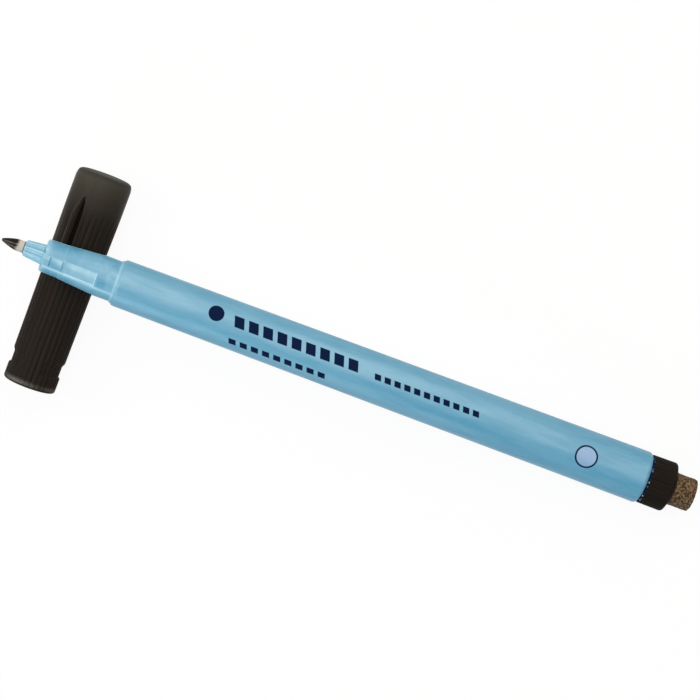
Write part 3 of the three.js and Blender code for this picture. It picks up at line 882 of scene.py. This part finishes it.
# Where the lights rise and fall across the barrel, in half widths of a pocket from its middle
BAND = (0.8, 1.05, 1.1, 1.55)
PATCH = (-0.95, -0.6, -0.5, 0.9)
PAD_TURN = (-0.4, 0.1)
POCKET_TURN = (-0.5, 0.2)
POCKET_UPPER_SIDE = (-1, -0.97)
POCKET_LOWER_SIDE = (0.8, 1)

# In azimuth from the top
STRIPE = (-0.15, 0.1, 0.4, 0.7)
FLANK = (0.6, 0.9)

# And along the barrel
FRONT_FALL = (-0.6 * MM, 0)
STRIPE_RISE = (-2.4 * MM, -1.7 * MM)
FLANK_RISE = (1.2 * MM, 3.2 * MM)     # behind the collar
FLANK_FALL = 0.6 * MM                 # in front of the neck
PATCH_RISE = 2 * MM                   # behind the slot
POCKET_RISE = (0, 0.35)               # shares of the pocket's length


class BarrelPlaces:
    """Stations and radii of the barrel's front, worked out from its sizes."""

    def __init__(self, b):
        self.neck = -b.shoulder_length
        self.cone = self.neck - b.neck_length
        self.collar = self.cone - b.cone_length
        self.front = self.collar - b.collar_length
        self.pocket_rear = self.cone - b.pocket_end_wall
        self.pad_rear = self.front + b.pad_length
        self.slot_rear = self.pad_rear + b.slot_length
        self.rear_edge = b.length - 1.5 * b.end_round
        self.cone_rear_radius = b.neck_radius - b.ring_step
        self.cone_front_radius = self.cone_rear_radius - b.cone_drop
        self.collar_radius = self.cone_front_radius - b.collar_drop


def barrel_outline(b, at):
    """Outside of the barrel as (radius, station), from its front edge to its rear edge."""
    round_in = 0.25 * MM
    foot = 0.15 * MM
    edge = (at.collar_radius - b.collar_round, at.front)
    neck_foot = (b.neck_radius, at.neck - foot)
    slope_top = (b.front_radius - round_in, -round_in)
    rear = (b.rear_radius, b.length - b.end_round)
    return [
        edge,
        *arc(edge, (at.collar_radius, at.front + b.collar_round), True),
        (at.cone_front_radius - b.ring_step, at.collar - b.ring_step),
        (at.cone_front_radius, at.collar),
        (at.cone_rear_radius, at.cone - b.ring_step),
        (b.neck_radius, at.cone),
        neck_foot,
        *arc(neck_foot, (b.neck_radius + foot, at.neck), False, steps=4),
        slope_top,
        *arc(slope_top, (b.front_radius, round_in), True),
        rear,
        *arc(rear, (b.rear_radius - b.end_round, b.length), False, steps=12),
    ]


def front_light(at, share, from_top, station):
    """Paleness of the lights on the collar, the cone and the neck."""
    before_tube = 1 - smooth(station, *FRONT_FALL)
    band = Pale.band * within(share, *BAND)
    band *= mix(Pale.band_at_collar, 1, smooth(station, at.collar, at.collar + RUN_IN))
    flank_rise = [at.collar + run for run in FLANK_RISE]
    flank = within(station, *flank_rise, at.cone - FLANK_FALL, at.cone)
    stripe = within(from_top, *STRIPE) * smooth(station, *STRIPE_RISE)
    lights = [
        band * before_tube,
        Pale.flank * flank * smooth(abs(from_top), *FLANK),
        Pale.stripe * stripe * before_tube,
    ]
    if at.slot_rear < station < at.collar:
        rearward = smooth(station, at.slot_rear, at.slot_rear + PATCH_RISE)
        lights.append(within(share, *PATCH) * mix(Pale.patch_front, Pale.patch_rear, rearward))
    return max(lights)


def pocket_light(share, rearward):
    """Painted light on a pocket's floor, brighter on its upper half, with a painted highlight at its lower
    wall.
    """
    painted_light = mix(Pale.pocket_upper, Pale.pocket_lower, smooth(share, *POCKET_TURN))
    painted_light = max(painted_light, Pale.pocket_wall * smooth(share, *POCKET_LOWER_SIDE))
    begun = mix(Pale.pocket_front, 1, smooth(rearward, *POCKET_RISE))
    return painted_light * smooth(share, *POCKET_UPPER_SIDE) * begun


def barrel_shift(b, at):
    """Pockets on the cone, flats and scallops at the collar's front edge, and painted highlights on walls and
    edges.
    """
    pad_floor = at.collar_radius - b.pad_sink
    pad_spread = TURN / 12
    bore_side = pad_floor - b.collar_round - HIGHLIGHT_DEPTH
    bite = b.scallop_radius - b.scallop_depth
    # painted highlight lines at the collar and the cone, and on the shoulder and its slope
    lines = (
        (at.collar, Pale.collar_line, LINE_WIDTH),
        (at.cone, Pale.cone_line, LINE_WIDTH),
        (at.neck, Pale.shoulder_line, SHOULDER_FADE),
        (at.neck, Pale.shoulder_slope, SLOPE_FADE),
    )

    def shift(azimuth, radius, station):
        if station > at.rear_edge:
            return radius, station, Pale.rear_edge * smooth(station, at.rear_edge, b.length - HIGHLIGHT_DEPTH)
        if station > SLOPE_FADE or radius < bore_side:
            return radius, station, 0.0
        beside = apart(azimuth, b.pocket_azimuth, b.pockets)
        share = beside / b.pocket_spread
        painted_light = max(tone * within(station - line, -LINE_WIDTH, 0, 0, fade) for line, tone, fade in lines)
        painted_light = max(painted_light, front_light(at, share, apart(azimuth, 0, 1), station))
        if at.collar < station < at.pocket_rear and abs(beside) < b.pocket_spread:
            rearward = (station - at.collar) / (at.pocket_rear - at.collar)
            front_floor = at.cone_front_radius - b.pocket_front_sink
            rear_floor = at.cone_rear_radius - b.pocket_rear_sink
            floor = mix(front_floor, rear_floor, rearward) / math.cos(beside)
            if floor < radius:
                radius = mix(radius, floor, smooth(station, at.collar, at.collar + RUN_IN))
                # painted highlight along the pocket's rear wall
                end_wall = smooth(station, at.pocket_rear - LINE_WIDTH, at.pocket_rear)
                painted_light = max(pocket_light(share, rearward), end_wall)
        pad = pad_floor / math.cos(beside)
        if station < at.pad_rear and abs(beside) < pad_spread and pad < radius:
            radius = pad
            # painted light on the flat, brighter on its upper half
            painted_light = mix(Pale.pad_upper, Pale.pad_lower, smooth(share, *PAD_TURN))
        if at.pad_rear < station < at.slot_rear and abs(radius * math.sin(beside)) < b.slot_half_width:
            return radius - b.slot_depth, station, 0.0
        across = radius * math.sin(apart(azimuth, b.scallop_azimuth, b.scallops))
        if abs(across) < b.scallop_radius and station < at.front + b.collar_round + CLOSE:
            push = math.sqrt(b.scallop_radius ** 2 - across ** 2) - bite
            station += max(0.0, push) * (1 - (station - at.front) / b.collar_round / 2)
        # painted highlight along the collar's front edge
        front_edge = Pale.front_edge * (1 - smooth(station, at.front + LINE_WIDTH, at.pad_rear))
        return radius, station, max(painted_light, front_edge)

    return shift


class MARKER_OT_barrel(bpy.types.Operator):
    """Make the barrel with its neck, cone and collar"""

    bl_idname = "marker.barrel"
    bl_label = "Barrel"
    columns = 480

    def execute(self, context):
        settings = context.scene.marker
        b = settings.barrel
        at = BarrelPlaces(b)
        holder_bore = settings.holder.radius + 0.1 * MM
        throat_at = at.cone - 0.2 * MM
        outside = fine(barrel_outline(b, at), 0.14 * MM, at.front, at.cone)
        outside = fine(outside, 0.25 * MM, at.cone, at.neck)
        walls = (at.pocket_rear, at.pad_rear, at.slot_rear)
        edges = [wall + side for wall in walls for side in (-WALL_HALF, WALL_HALF)]
        edges += [at.neck + 0.18 * MM, at.rear_edge, b.length - 1.25 * b.end_round]
        profile = [
            (holder_bore, at.front),
            *with_rows(outside, edges),
            (b.rear_radius - b.wall, b.length),
            (b.front_radius - b.wall, b.bore_front),
            (b.throat_radius, b.bore_front - 1.7 * MM),
            (b.throat_radius, throat_at),
            (holder_bore, throat_at),
            (holder_bore, at.front),
        ]
        mesh = turned("barrel_tube", profile, self.columns, barrel_shift(b, at))
        material = blue_plastic(settings.finishes, "pearl_blue", True)
        place(mesh, MARKER, "marker", "barrel", material)
        return {"FINISHED"}


# Nib holder and nib

# Where the painted highlight on a rib rises, in half pitches from its groove and from its fine line
RIB_RISE = (0.25, 0.7)
LINE_RISE = (0.05, 0.3)


def holder_shift(h):
    """Painted highlights on the ribs' crests, darker towards their grooves and their fine lines."""
    half_pitch = TURN / h.ribs / 2

    def shift(azimuth, radius, station):
        if radius < h.bore + CLOSE:
            return radius, station, 0.0
        from_groove = abs(apart(azimuth, h.rib_azimuth, h.ribs)) / half_pitch
        from_line = abs(apart(azimuth, h.line_azimuth, h.ribs)) / half_pitch
        crest = h.crest_highlight * smooth(from_groove, *RIB_RISE) * smooth(from_line, *LINE_RISE)
        return radius, station, crest

    return shift


class MARKER_OT_nib_holder(bpy.types.Operator):
    """Make the ribbed tube that holds the nib"""

    bl_idname = "marker.nib_holder"
    bl_label = "Nib Holder"
    columns = 192
    paler = 0.1

    def execute(self, context):
        settings = context.scene.marker
        h = settings.holder
        front_at = BarrelPlaces(settings.barrel).front
        mouth_at = front_at - h.reach
        mouth = h.radius - h.taper
        lip = 0.08 * MM
        profile = fine([
            (h.bore, mouth_at),
            (mouth - h.chamfer, mouth_at),
            (mouth, mouth_at + h.chamfer),
            (h.radius, front_at),
            (h.radius, h.flange_station),
            (h.flange_radius, h.flange_station),
            (h.flange_radius, h.flange_station + h.flange_length),
            (h.bore, h.flange_station + h.flange_length),
            (h.bore, mouth_at),
        ], 0.2 * MM, mouth_at + lip, front_at)
        material = blue_plastic(settings.finishes, "holder_blue", False, self.paler)
        mesh = turned("nib_holder_tube", profile, self.columns, holder_shift(h))
        grooves = ((h.rib_azimuth, h.rib_depth, 0.3), (h.line_azimuth, h.line_depth, 0.2))
        for first, depth, half_width in grooves:
            mesh = shaped(mesh, grooves_tree(), material, {
                "Count": float(h.ribs), "First": first, "Depth": depth, "Half Width": half_width,
                "Start": mouth_at - lip, "Fade In": lip, "End": front_at + 1.0 * MM, "Fade Out": 0.5 * MM,
                "Inside": h.bore + 0.1 * MM})
        place(mesh, MARKER, "marker", "nib_holder", material)
        return {"FINISHED"}


class MARKER_OT_nib(bpy.types.Operator):
    """Make the nib, inked on its point"""

    bl_idname = "marker.nib"
    bl_label = "Nib"
    columns = 96
    point_steps = 24

    def execute(self, context):
        settings = context.scene.marker
        n = settings.nib
        mouth_at = BarrelPlaces(settings.barrel).front - settings.holder.reach
        tip_at = mouth_at - n.reach
        blunt = n.tip_radius / 2
        tail_chamfer = 0.4 * MM
        profile = [(0, tip_at), *arc((0, tip_at), (n.tip_radius, tip_at + blunt), True)]
        for i in range(1, self.point_steps + 1):
            toward_tip = 1 - i / self.point_steps
            radius = n.radius - (n.radius - n.tip_radius) * toward_tip ** n.point_curve
            profile.append((radius, tip_at + mix(n.point_length, blunt, toward_tip)))
        profile += [
            (n.radius, n.tail_station - tail_chamfer),
            (n.radius - tail_chamfer, n.tail_station),
            (0, n.tail_station),
        ]
        material = nib_plastic(settings.finishes, n.ink_edge, mouth_at)
        mesh = turned("nib_point", profile, self.columns)
        place(mesh, MARKER, "marker", "nib", material)
        return {"FINISHED"}


class MARKER_OT_reservoir(bpy.types.Operator):
    """Finish the ink reservoir and its wrap, which keep their CAD shapes"""

    bl_idname = "marker.reservoir"
    bl_label = "Ink Reservoir"

    def execute(self, context):
        finishes = context.scene.marker.finishes
        for name, make, slot in (("ink_reservoir", fibre, "reservoir_fibre"),
                                 ("reservoir_wrap", film, "wrap_film")):
            node = frame["nodes"][name]
            node.material_slots[0].material = make(finishes)
        return {"FINISHED"}


# Plug and cork

class MARKER_OT_end_plug(bpy.types.Operator):
    """Make the splined plug that closes the barrel"""

    bl_idname = "marker.end_plug"
    bl_label = "End Plug"
    columns_per_spline = 12

    def execute(self, context):
        settings = context.scene.marker
        p = settings.plug
        end_at = p.head_station + p.head_length
        crown_at = end_at - p.crown
        socket_at = end_at - p.socket_depth
        skirt_bore = p.skirt_radius - p.skirt_wall
        edge = 0.12 * MM
        front = (p.head_radius - edge, p.head_station)
        rear = (p.head_radius + p.flare, crown_at - p.rounding)
        profile = fine([
            (0, socket_at - p.floor),
            (skirt_bore, socket_at - p.floor),
            (skirt_bore, p.skirt_station),
            (p.skirt_radius, p.skirt_station),
            (p.skirt_radius, p.head_station),
            front,
            *arc(front, (p.head_radius, p.head_station + edge), True, steps=4),
            rear,
            *arc(rear, (rear[0] - p.rounding, crown_at), False, steps=10),
            (p.socket_radius + 0.1 * MM, end_at),
            (p.socket_radius, end_at),
            (p.socket_radius, socket_at),
            (0, socket_at),
        ], 0.25 * MM, p.head_station + edge, crown_at - p.rounding)
        # the painted blue reflection ends here
        ring_end = (p.head_station + p.ring_length) / MM
        material = black_plastic(settings.finishes, "plug_black", MARKER, 0.5, blue_reflection_until=ring_end)
        mesh = turned("end_plug_head", profile, p.splines * self.columns_per_spline)
        mesh = shaped(mesh, grooves_tree(), material, {
            "Count": float(p.splines), "First": 0.0, "Depth": p.spline_depth, "Half Width": 0.34,
            "Start": p.head_station - edge, "Fade In": edge, "End": crown_at - 0.15 * MM,
            "Fade Out": 0.8 * MM, "Inside": p.skirt_radius + edge})
        place(mesh, MARKER, "marker", "end_plug", material)
        return {"FINISHED"}


class MARKER_OT_cork(bpy.types.Operator):
    """Make the cork eraser"""

    bl_idname = "marker.cork"
    bl_label = "Cork Eraser"
    columns = 200
    end_rings = 22
    seed = 4.0

    def execute(self, context):
        settings = context.scene.marker
        c = settings.cork
        plug_end = settings.plug.head_station + settings.plug.head_length
        floor_at = plug_end - settings.plug.socket_depth + c.seat
        end_at = plug_end + c.reach
        rough_from = plug_end - 0.3 * MM
        inner = c.radius - c.rounding
        shoulder = (c.radius, end_at - c.rounding)
        profile = fine([
            (0, floor_at),
            (inner, floor_at),
            *arc((inner, floor_at), (c.radius, floor_at + c.rounding), True, steps=4),
            (c.radius, rough_from),
            shoulder,
            *arc(shoulder, (inner, end_at), False, steps=8),
        ], 0.1 * MM, rough_from, end_at)
        profile += [(inner * (1 - i / self.end_rings), end_at) for i in range(1, self.end_rings + 1)]
        material = cork(settings.finishes)
        mesh = shaped(turned("cork_rod", profile, self.columns), pits_tree(), material, {
            "Grain": c.grain, "Depth": c.pit_depth, "Start": plug_end - 0.2 * MM, "Seed": self.seed})
        place(mesh, MARKER, "marker", "cork_eraser", material)
        return {"FINISHED"}


# Cap

WAIST_EDGE = math.radians(3)                           # over which a side recess reaches its depth
RIM_HIGHLIGHT = (2.4, 1.4, 0.9, 0.5)                        # painted highlight on the mouth's rim: begin, full, fade and end before the mouth, in rims
LIT_SIDE = (0.8, 1.15, 1.6, 1.9)                       # azimuths of a painted sheen on one side
LIT_STATIONS = (4 * MM, 8 * MM, 14 * MM, 20 * MM)      # and its stations
LIT_PALE = 0.22
END_SHADE = 0.34                                       # painted shade: how much darker and rougher the closed end's face is


def cap_outside(c, station):
    toward_mouth = (station - c.smooth_length) / (c.length - c.rim - c.smooth_length)
    return c.mouth_radius + c.taper * (1 - min(1.0, max(0.0, toward_mouth))) ** c.taper_curve


def cap_shift(c, t):
    """The two side recesses near the mouth, the ditch beside the tongue, a painted highlight on the rim and a
    painted sheen on one side, and painted shade in the ditch and on the closed end's face.
    """
    waist_end = c.waist_station + c.waist_length
    waist = (c.waist_station, c.waist_station + c.waist_ramp_front, waist_end - c.waist_ramp_back, waist_end)
    rim = [c.length - rims * c.rim for rims in RIM_HIGHLIGHT]

    def shift(azimuth, radius, station):
        outside = radius > c.bore + c.waist_depth
        beside = smooth(abs(apart(azimuth, 0, 2)), c.waist_bridge, c.waist_bridge + WAIST_EDGE)
        sunk = outside * c.waist_depth * within(station, *waist) * beside
        ditch = outside * ditch_depth(c, t, azimuth, station)
        # painted highlight on the rim, weaker away from one side
        rim_highlight = within(station, *rim) * (1 - 0.5 * smooth(abs(apart(azimuth, 0.25, 1)), 0.1, 0.9))
        lit = LIT_PALE * within(apart(azimuth, 0, 1), *LIT_SIDE) * within(station, *LIT_STATIONS)
        end_face = END_SHADE * (1 - smooth(station, c.dome, c.dome + 0.55 * c.corner_length))
        # painted highlights on the rim and one side, less painted shade in the ditch and on the closed end
        return radius - sunk - ditch, station, rim_highlight + lit - ditch / t.ditch - end_face

    return shift


def tongue_middle(c, t, station, half):
    """Azimuth of the middle of the tongue and its ditch, which lean to one side towards the point."""
    return t.azimuth - t.tip_offset * (1 - half / t.half_width) / cap_outside(c, station)


def ditch_depth(c, t, azimuth, station):
    """Narrow ditch along the shaded side of the tongue."""
    run = station - t.station
    if not 0 < run < t.length:
        return 0.0
    half = max(tongue_half_width(t, run), CLOSE)
    across = apart(azimuth, tongue_middle(c, t, station, half), 1) * cap_outside(c, station) / half
    ends = smooth(min(run, t.length - run), 0, 1.2 * MM)
    return t.ditch * ends * within(across, -1.0, -0.6, t.split, t.split + 0.15)


def steps_from(start, mm, count):
    """Stations from start on, this many millimetres apart."""
    return [start + i * mm * MM for i in range(count)]


class MARKER_OT_cap(bpy.types.Operator):
    """Make the fluted cap"""

    bl_idname = "marker.cap"
    bl_label = "Cap"
    columns_per_flute = 14

    def execute(self, context):
        settings = context.scene.marker
        c = settings.cap
        t = settings.tongue
        end_radius = c.mouth_radius + c.taper
        edge = (end_radius - c.corner_radius, c.dome)
        mouth_edge = c.length - c.rim
        tongue_step = 0.2
        waist_step = 0.1
        rows = steps_from(c.smooth_length, 1.0, int((mouth_edge - c.smooth_length) / MM) + 1)
        rows += steps_from(t.station, tongue_step, int(t.length / tongue_step / MM) + 2)
        rows += steps_from(c.waist_station, waist_step, int(c.waist_length / waist_step / MM) + 2)
        rows += steps_from(mouth_edge, -waist_step, 6)
        rows.append(c.waist_station + c.waist_length)
        profile = [
            (0, 0),
            (c.flat_radius, 0),
            *arc((c.flat_radius, 0), edge, True, steps=4),
            *arc(edge, (end_radius, c.dome + c.corner_length), True, steps=12),
            *[(cap_outside(c, s), s) for s in sorted(set(rows))],
            *arc((c.mouth_radius, mouth_edge), (c.mouth_radius - c.rim, c.length), False, steps=10),
            (c.bore + c.chamfer, c.length),
            (c.bore, c.length - c.chamfer * 2),
            (c.bore, c.bore_straight),
            (c.bore - c.bore_taper, c.end_wall),
            (0, c.end_wall),
        ]
        plain_until = c.smooth_length / MM + 4.5
        material = black_plastic(settings.finishes, "cap_black", CAP, 0.4, plain_until)
        mesh = turned("cap_body", profile, c.flutes * self.columns_per_flute, cap_shift(c, t))
        mesh = shaped(mesh, grooves_tree(), material, {
            "Count": float(c.flutes), "First": c.flute_azimuth, "Depth": c.flute_depth, "Half Width": 0.36,
            "Start": c.smooth_length - 0.4 * MM, "Fade In": c.fade_in, "End": c.length - 0.1 * MM,
            "Fade Out": 0.5 * MM, "Inside": c.bore + 0.3 * MM})
        place(mesh, CAP, "cap", "cap_shell", material)
        place(tongue_mesh(c, t), CAP, "cap", None, material)
        return {"FINISHED"}


def tongue_half_width(t, run):
    """Half of the tongue's width at a distance from its point."""
    if run < t.point_length:
        return t.half_width * math.sin(run / t.point_length * TURN / 4) ** 0.8
    from_tail = (run - (t.length - t.tail_length)) / t.tail_length
    return t.half_width * math.sqrt(max(0.0, 1 - max(0.0, from_tail) ** 2))


TONGUE_ROWS = 90
TONGUE_COLUMNS = 28
TONGUE_CREST_HIGHLIGHT = 0.45


def tongue_mesh(c, t):
    """The raised leaf on the cap, a closed skin that is sunk a little into the cap."""
    points = []
    painted_light = []
    for i in range(TONGUE_ROWS + 1):
        run = t.length * i / TONGUE_ROWS
        half = max(tongue_half_width(t, run), CLOSE)
        outside = cap_outside(c, t.station + run)
        end_fall = smooth(min(run, t.length - run), 0, 0.35 * MM)
        for j in range(TONGUE_COLUMNS + 1):
            across = mix(t.split, 1, (1 + math.sin((2 * j / TONGUE_COLUMNS - 1) * TURN / 4)) / 2)
            section = smooth(across, t.split - 0.05, t.split + 0.35) * math.sqrt(1 - max(0.0, across) ** 6)
            radius = outside - t.rooting + (t.height + t.rooting) * section * end_fall
            azimuth = tongue_middle(c, t, t.station + run, half) + half * across / outside
            points.append((radius * math.sin(azimuth), t.station + run, radius * math.cos(azimuth)))
            # painted highlight along one edge of the tongue's crest
            painted_light.append(TONGUE_CREST_HIGHLIGHT * smooth(across, 0.55, 0.85))
    top = len(points)
    row = TONGUE_COLUMNS + 1
    for i in range(TONGUE_ROWS + 1):
        for j in (0, TONGUE_COLUMNS):
            x, y, z = points[i * row + j]
            shrink = 1 - t.sink / math.hypot(x, z)
            points.append((x * shrink, y, z * shrink))
            painted_light.append(0.0)
    faces = []
    for i in range(TONGUE_ROWS):
        near = i * row
        far = near + row
        left = top + 2 * i
        faces += [(near + j, near + j + 1, far + j + 1, far + j) for j in range(TONGUE_COLUMNS)]
        faces.append((near, far, left + 2, left))
        faces.append((far + TONGUE_COLUMNS, near + TONGUE_COLUMNS, left + 1, left + 3))
        faces.append((left, left + 2, left + 3, left + 1))
    for i, turn in ((0, 1), (TONGUE_ROWS, -1)):
        rim = [i * row + j for j in range(row)] + [top + 2 * i + 1, top + 2 * i]
        faces.append(tuple(rim[::-turn]))
    return new_mesh("cap_tongue", points, faces, painted_light)


class MARKER_OT_seal(bpy.types.Operator):
    """Make the inner seal of the cap"""

    bl_idname = "marker.seal"
    bl_label = "Cap Inner Seal"
    columns = 128

    def execute(self, context):
        settings = context.scene.marker
        s = settings.seal
        ring_end = s.floor_station + s.ring_length
        inner_floor = s.floor_station + s.floor
        lip = 0.12 * MM
        lip_at = s.mouth_station - lip
        profile = [
            (0, s.floor_station),
            (s.ring_radius, s.floor_station),
            (s.ring_radius, ring_end),
            (s.sleeve_radius, ring_end),
            (s.sleeve_radius, s.lip_station - s.flare_length),
            (s.lip_radius, s.lip_station),
            (s.mouth_radius, lip_at),
            *arc((s.mouth_radius, lip_at), (s.mouth_radius - lip, s.mouth_station), False, steps=5),
            *arc((s.bore + lip, s.mouth_station), (s.bore, lip_at), True, steps=5),
            (s.bore, s.lip_station),
            (s.room_radius, s.lip_station - s.flare_length / 2),
            (s.room_radius, inner_floor),
            (0, inner_floor),
        ]
        material = black_plastic(settings.finishes, "seal_black", CAP, 0.45)
        mesh = turned("inner_seal", profile, self.columns)
        place(mesh, CAP, "cap", "cap_inner_seal", material)
        return {"FINISHED"}


# Stage

WHITE = (1, 1, 1, 1)
FLOOR_GREY = (0.86, 0.86, 0.86, 1)
SENSOR_WIDTH = 36            # millimetres
CLIP_NEAR = 0.01
CLIP_FAR = 50


def seen_as_white(tree):
    """1 for the rays that look at the background rather than light the object."""
    path = put(tree, "ShaderNodeLightPath")
    looking = calc("MAXIMUM", path["Is Camera Ray"], path["Is Glossy Ray"])
    return calc("MAXIMUM", looking, path["Is Transmission Ray"])


def make_floor(stage):
    reach = stage.floor_reach
    mesh = bpy.data.meshes.new("floor")
    corners = [(x * reach, y * reach, 0) for x, y in ((-1, -1), (1, -1), (1, 1), (-1, 1))]
    mesh.from_pydata(corners, [], [(0, 1, 2, 3)])
    material = bpy.data.materials.new("white_floor")
    material.use_nodes = True
    tree = material.node_tree
    shader = tree.nodes["Principled BSDF"]
    fill(shader, {"Base Color": FLOOR_GREY, "Roughness": 0.8})
    white = put(tree, "ShaderNodeEmission", {"Color": WHITE, "Strength": 1.0})[0]
    amount = seen_as_white(tree) * stage.floor_white
    mixed = put(tree, "ShaderNodeMixShader", {0: amount, 1: Value(shader.outputs[0]), 2: white})[0]
    fill(tree.nodes["Material Output"], {"Surface": mixed})
    mesh.materials.append(material)
    floor = add_object("floor", mesh)


def make_world(stage):
    world = bpy.data.worlds.new("soft_light")
    world.use_nodes = True
    tree = world.node_tree
    even = tree.nodes["Background"]
    fill(even, {"Color": WHITE, "Strength": stage.world_light})
    white = put(tree, "ShaderNodeBackground", {"Color": WHITE, "Strength": 1.0})[0]
    mixed = put(tree, "ShaderNodeMixShader", {0: seen_as_white(tree), 1: Value(even.outputs[0]), 2: white})[0]
    fill(tree.nodes["World Output"], {"Surface": mixed})
    bpy.context.scene.world = world


def make_camera(stage):
    """Camera at the photograph's place. Returns its axes: right, up and back."""
    lean = stage.camera_lean
    tilt = stage.camera_tilt
    turn = stage.camera_turn
    forward = Vector((math.sin(lean), -math.sin(tilt) * math.cos(lean), -math.cos(tilt) * math.cos(lean)))
    east = (Vector((1, 0, 0)) - forward * forward.x).normalized()
    north = east.cross(forward)
    right = east * math.cos(turn) + north * math.sin(turn)
    up = north * math.cos(turn) - east * math.sin(turn)
    data = bpy.data.cameras.new("photo_camera")
    data.lens = stage.camera_lens
    data.sensor_width = SENSOR_WIDTH
    data.clip_start = CLIP_NEAR
    data.clip_end = CLIP_FAR
    camera = add_object("photo_camera", data)
    axes = Matrix((right, up, -forward)).transposed().to_4x4()
    camera.matrix_world = Matrix.Translation(Vector(stage.camera_place)) @ axes
    bpy.context.scene.camera = camera
    return right, up, -forward


# Softboxes: name, direction as seen in the picture (right, up, towards the camera), width along the barrel,
# width across it, watts and tint
LAMP_DISTANCE = 0.6
WARM = (1.0, 0.965, 0.90)
COOL = (0.60, 0.90, 1.0)
LAMPS = (
    ("key_softbox", (0.150, 0.425, 0.893), 0.50, 1.14, 4.35, WARM),
    ("side_softbox", (-0.75, 0.27, 0.60), 0.36, 0.36, 1.6, WARM),
    ("fill_softbox", (-0.57, -0.83, 0.24), 0.28, 0.28, 1.4, COOL),
)


def make_lamp(name, direction, along, across, watts, tint):
    data = bpy.data.lights.new(name, "AREA")
    data.shape = "RECTANGLE"
    data.size = along
    data.size_y = across
    data.energy = watts
    data.color = tint
    back = direction.normalized()
    barrel_axis = MARKER.col[1].to_3d()
    side = (barrel_axis - back * barrel_axis.dot(back)).normalized()
    turn = Matrix((side, back.cross(side), back)).transposed().to_4x4()
    add_object(name, data).matrix_world = Matrix.Translation(back * LAMP_DISTANCE) @ turn


class MARKER_OT_stage(bpy.types.Operator):
    """Make the camera, the floor, the world and the lamps"""

    bl_idname = "marker.stage"
    bl_label = "Stage"

    def execute(self, context):
        stage = context.scene.marker.stage
        context.scene.view_settings.view_transform = "Standard"
        right, up, back = make_camera(stage)
        make_floor(stage)
        make_world(stage)
        for name, (rightward, upward, backward), *rest in LAMPS:
            make_lamp(name, right * rightward + up * upward + back * backward, *rest)
        return {"FINISHED"}


# Panel and registration

OPERATORS = (
    MARKER_OT_stage,
    MARKER_OT_barrel,
    MARKER_OT_nib_holder,
    MARKER_OT_nib,
    MARKER_OT_reservoir,
    MARKER_OT_end_plug,
    MARKER_OT_cork,
    MARKER_OT_cap,
    MARKER_OT_seal,
)


class MARKER_PT_pieces(bpy.types.Panel):
    """Lists the pieces of the marker"""

    bl_idname = "MARKER_PT_pieces"
    bl_label = "Erasable Marker"
    bl_space_type = "VIEW_3D"
    bl_region_type = "UI"
    bl_category = "Marker"

    def draw(self, context):
        for operator in OPERATORS:
            self.layout.operator(operator.bl_idname)


CLASSES = (
    BarrelSizes, HolderSizes, NibSizes, PlugSizes, CorkSizes, CapSizes, TongueSizes, SealSizes,
    Finishes, StageSettings, MarkerSettings, *OPERATORS, MARKER_PT_pieces,
)


def register():
    for made in CLASSES:
        bpy.utils.register_class(made)
    bpy.types.Scene.marker = PointerProperty(type=MarkerSettings)


def unregister():
    del bpy.types.Scene.marker
    for made in reversed(CLASSES):
        bpy.utils.unregister_class(made)


def main():
    register()
    for operator in OPERATORS:
        family, name = operator.bl_idname.split(".")
        getattr(getattr(bpy.ops, family), name)()


if __name__ == "__main__":
    main()
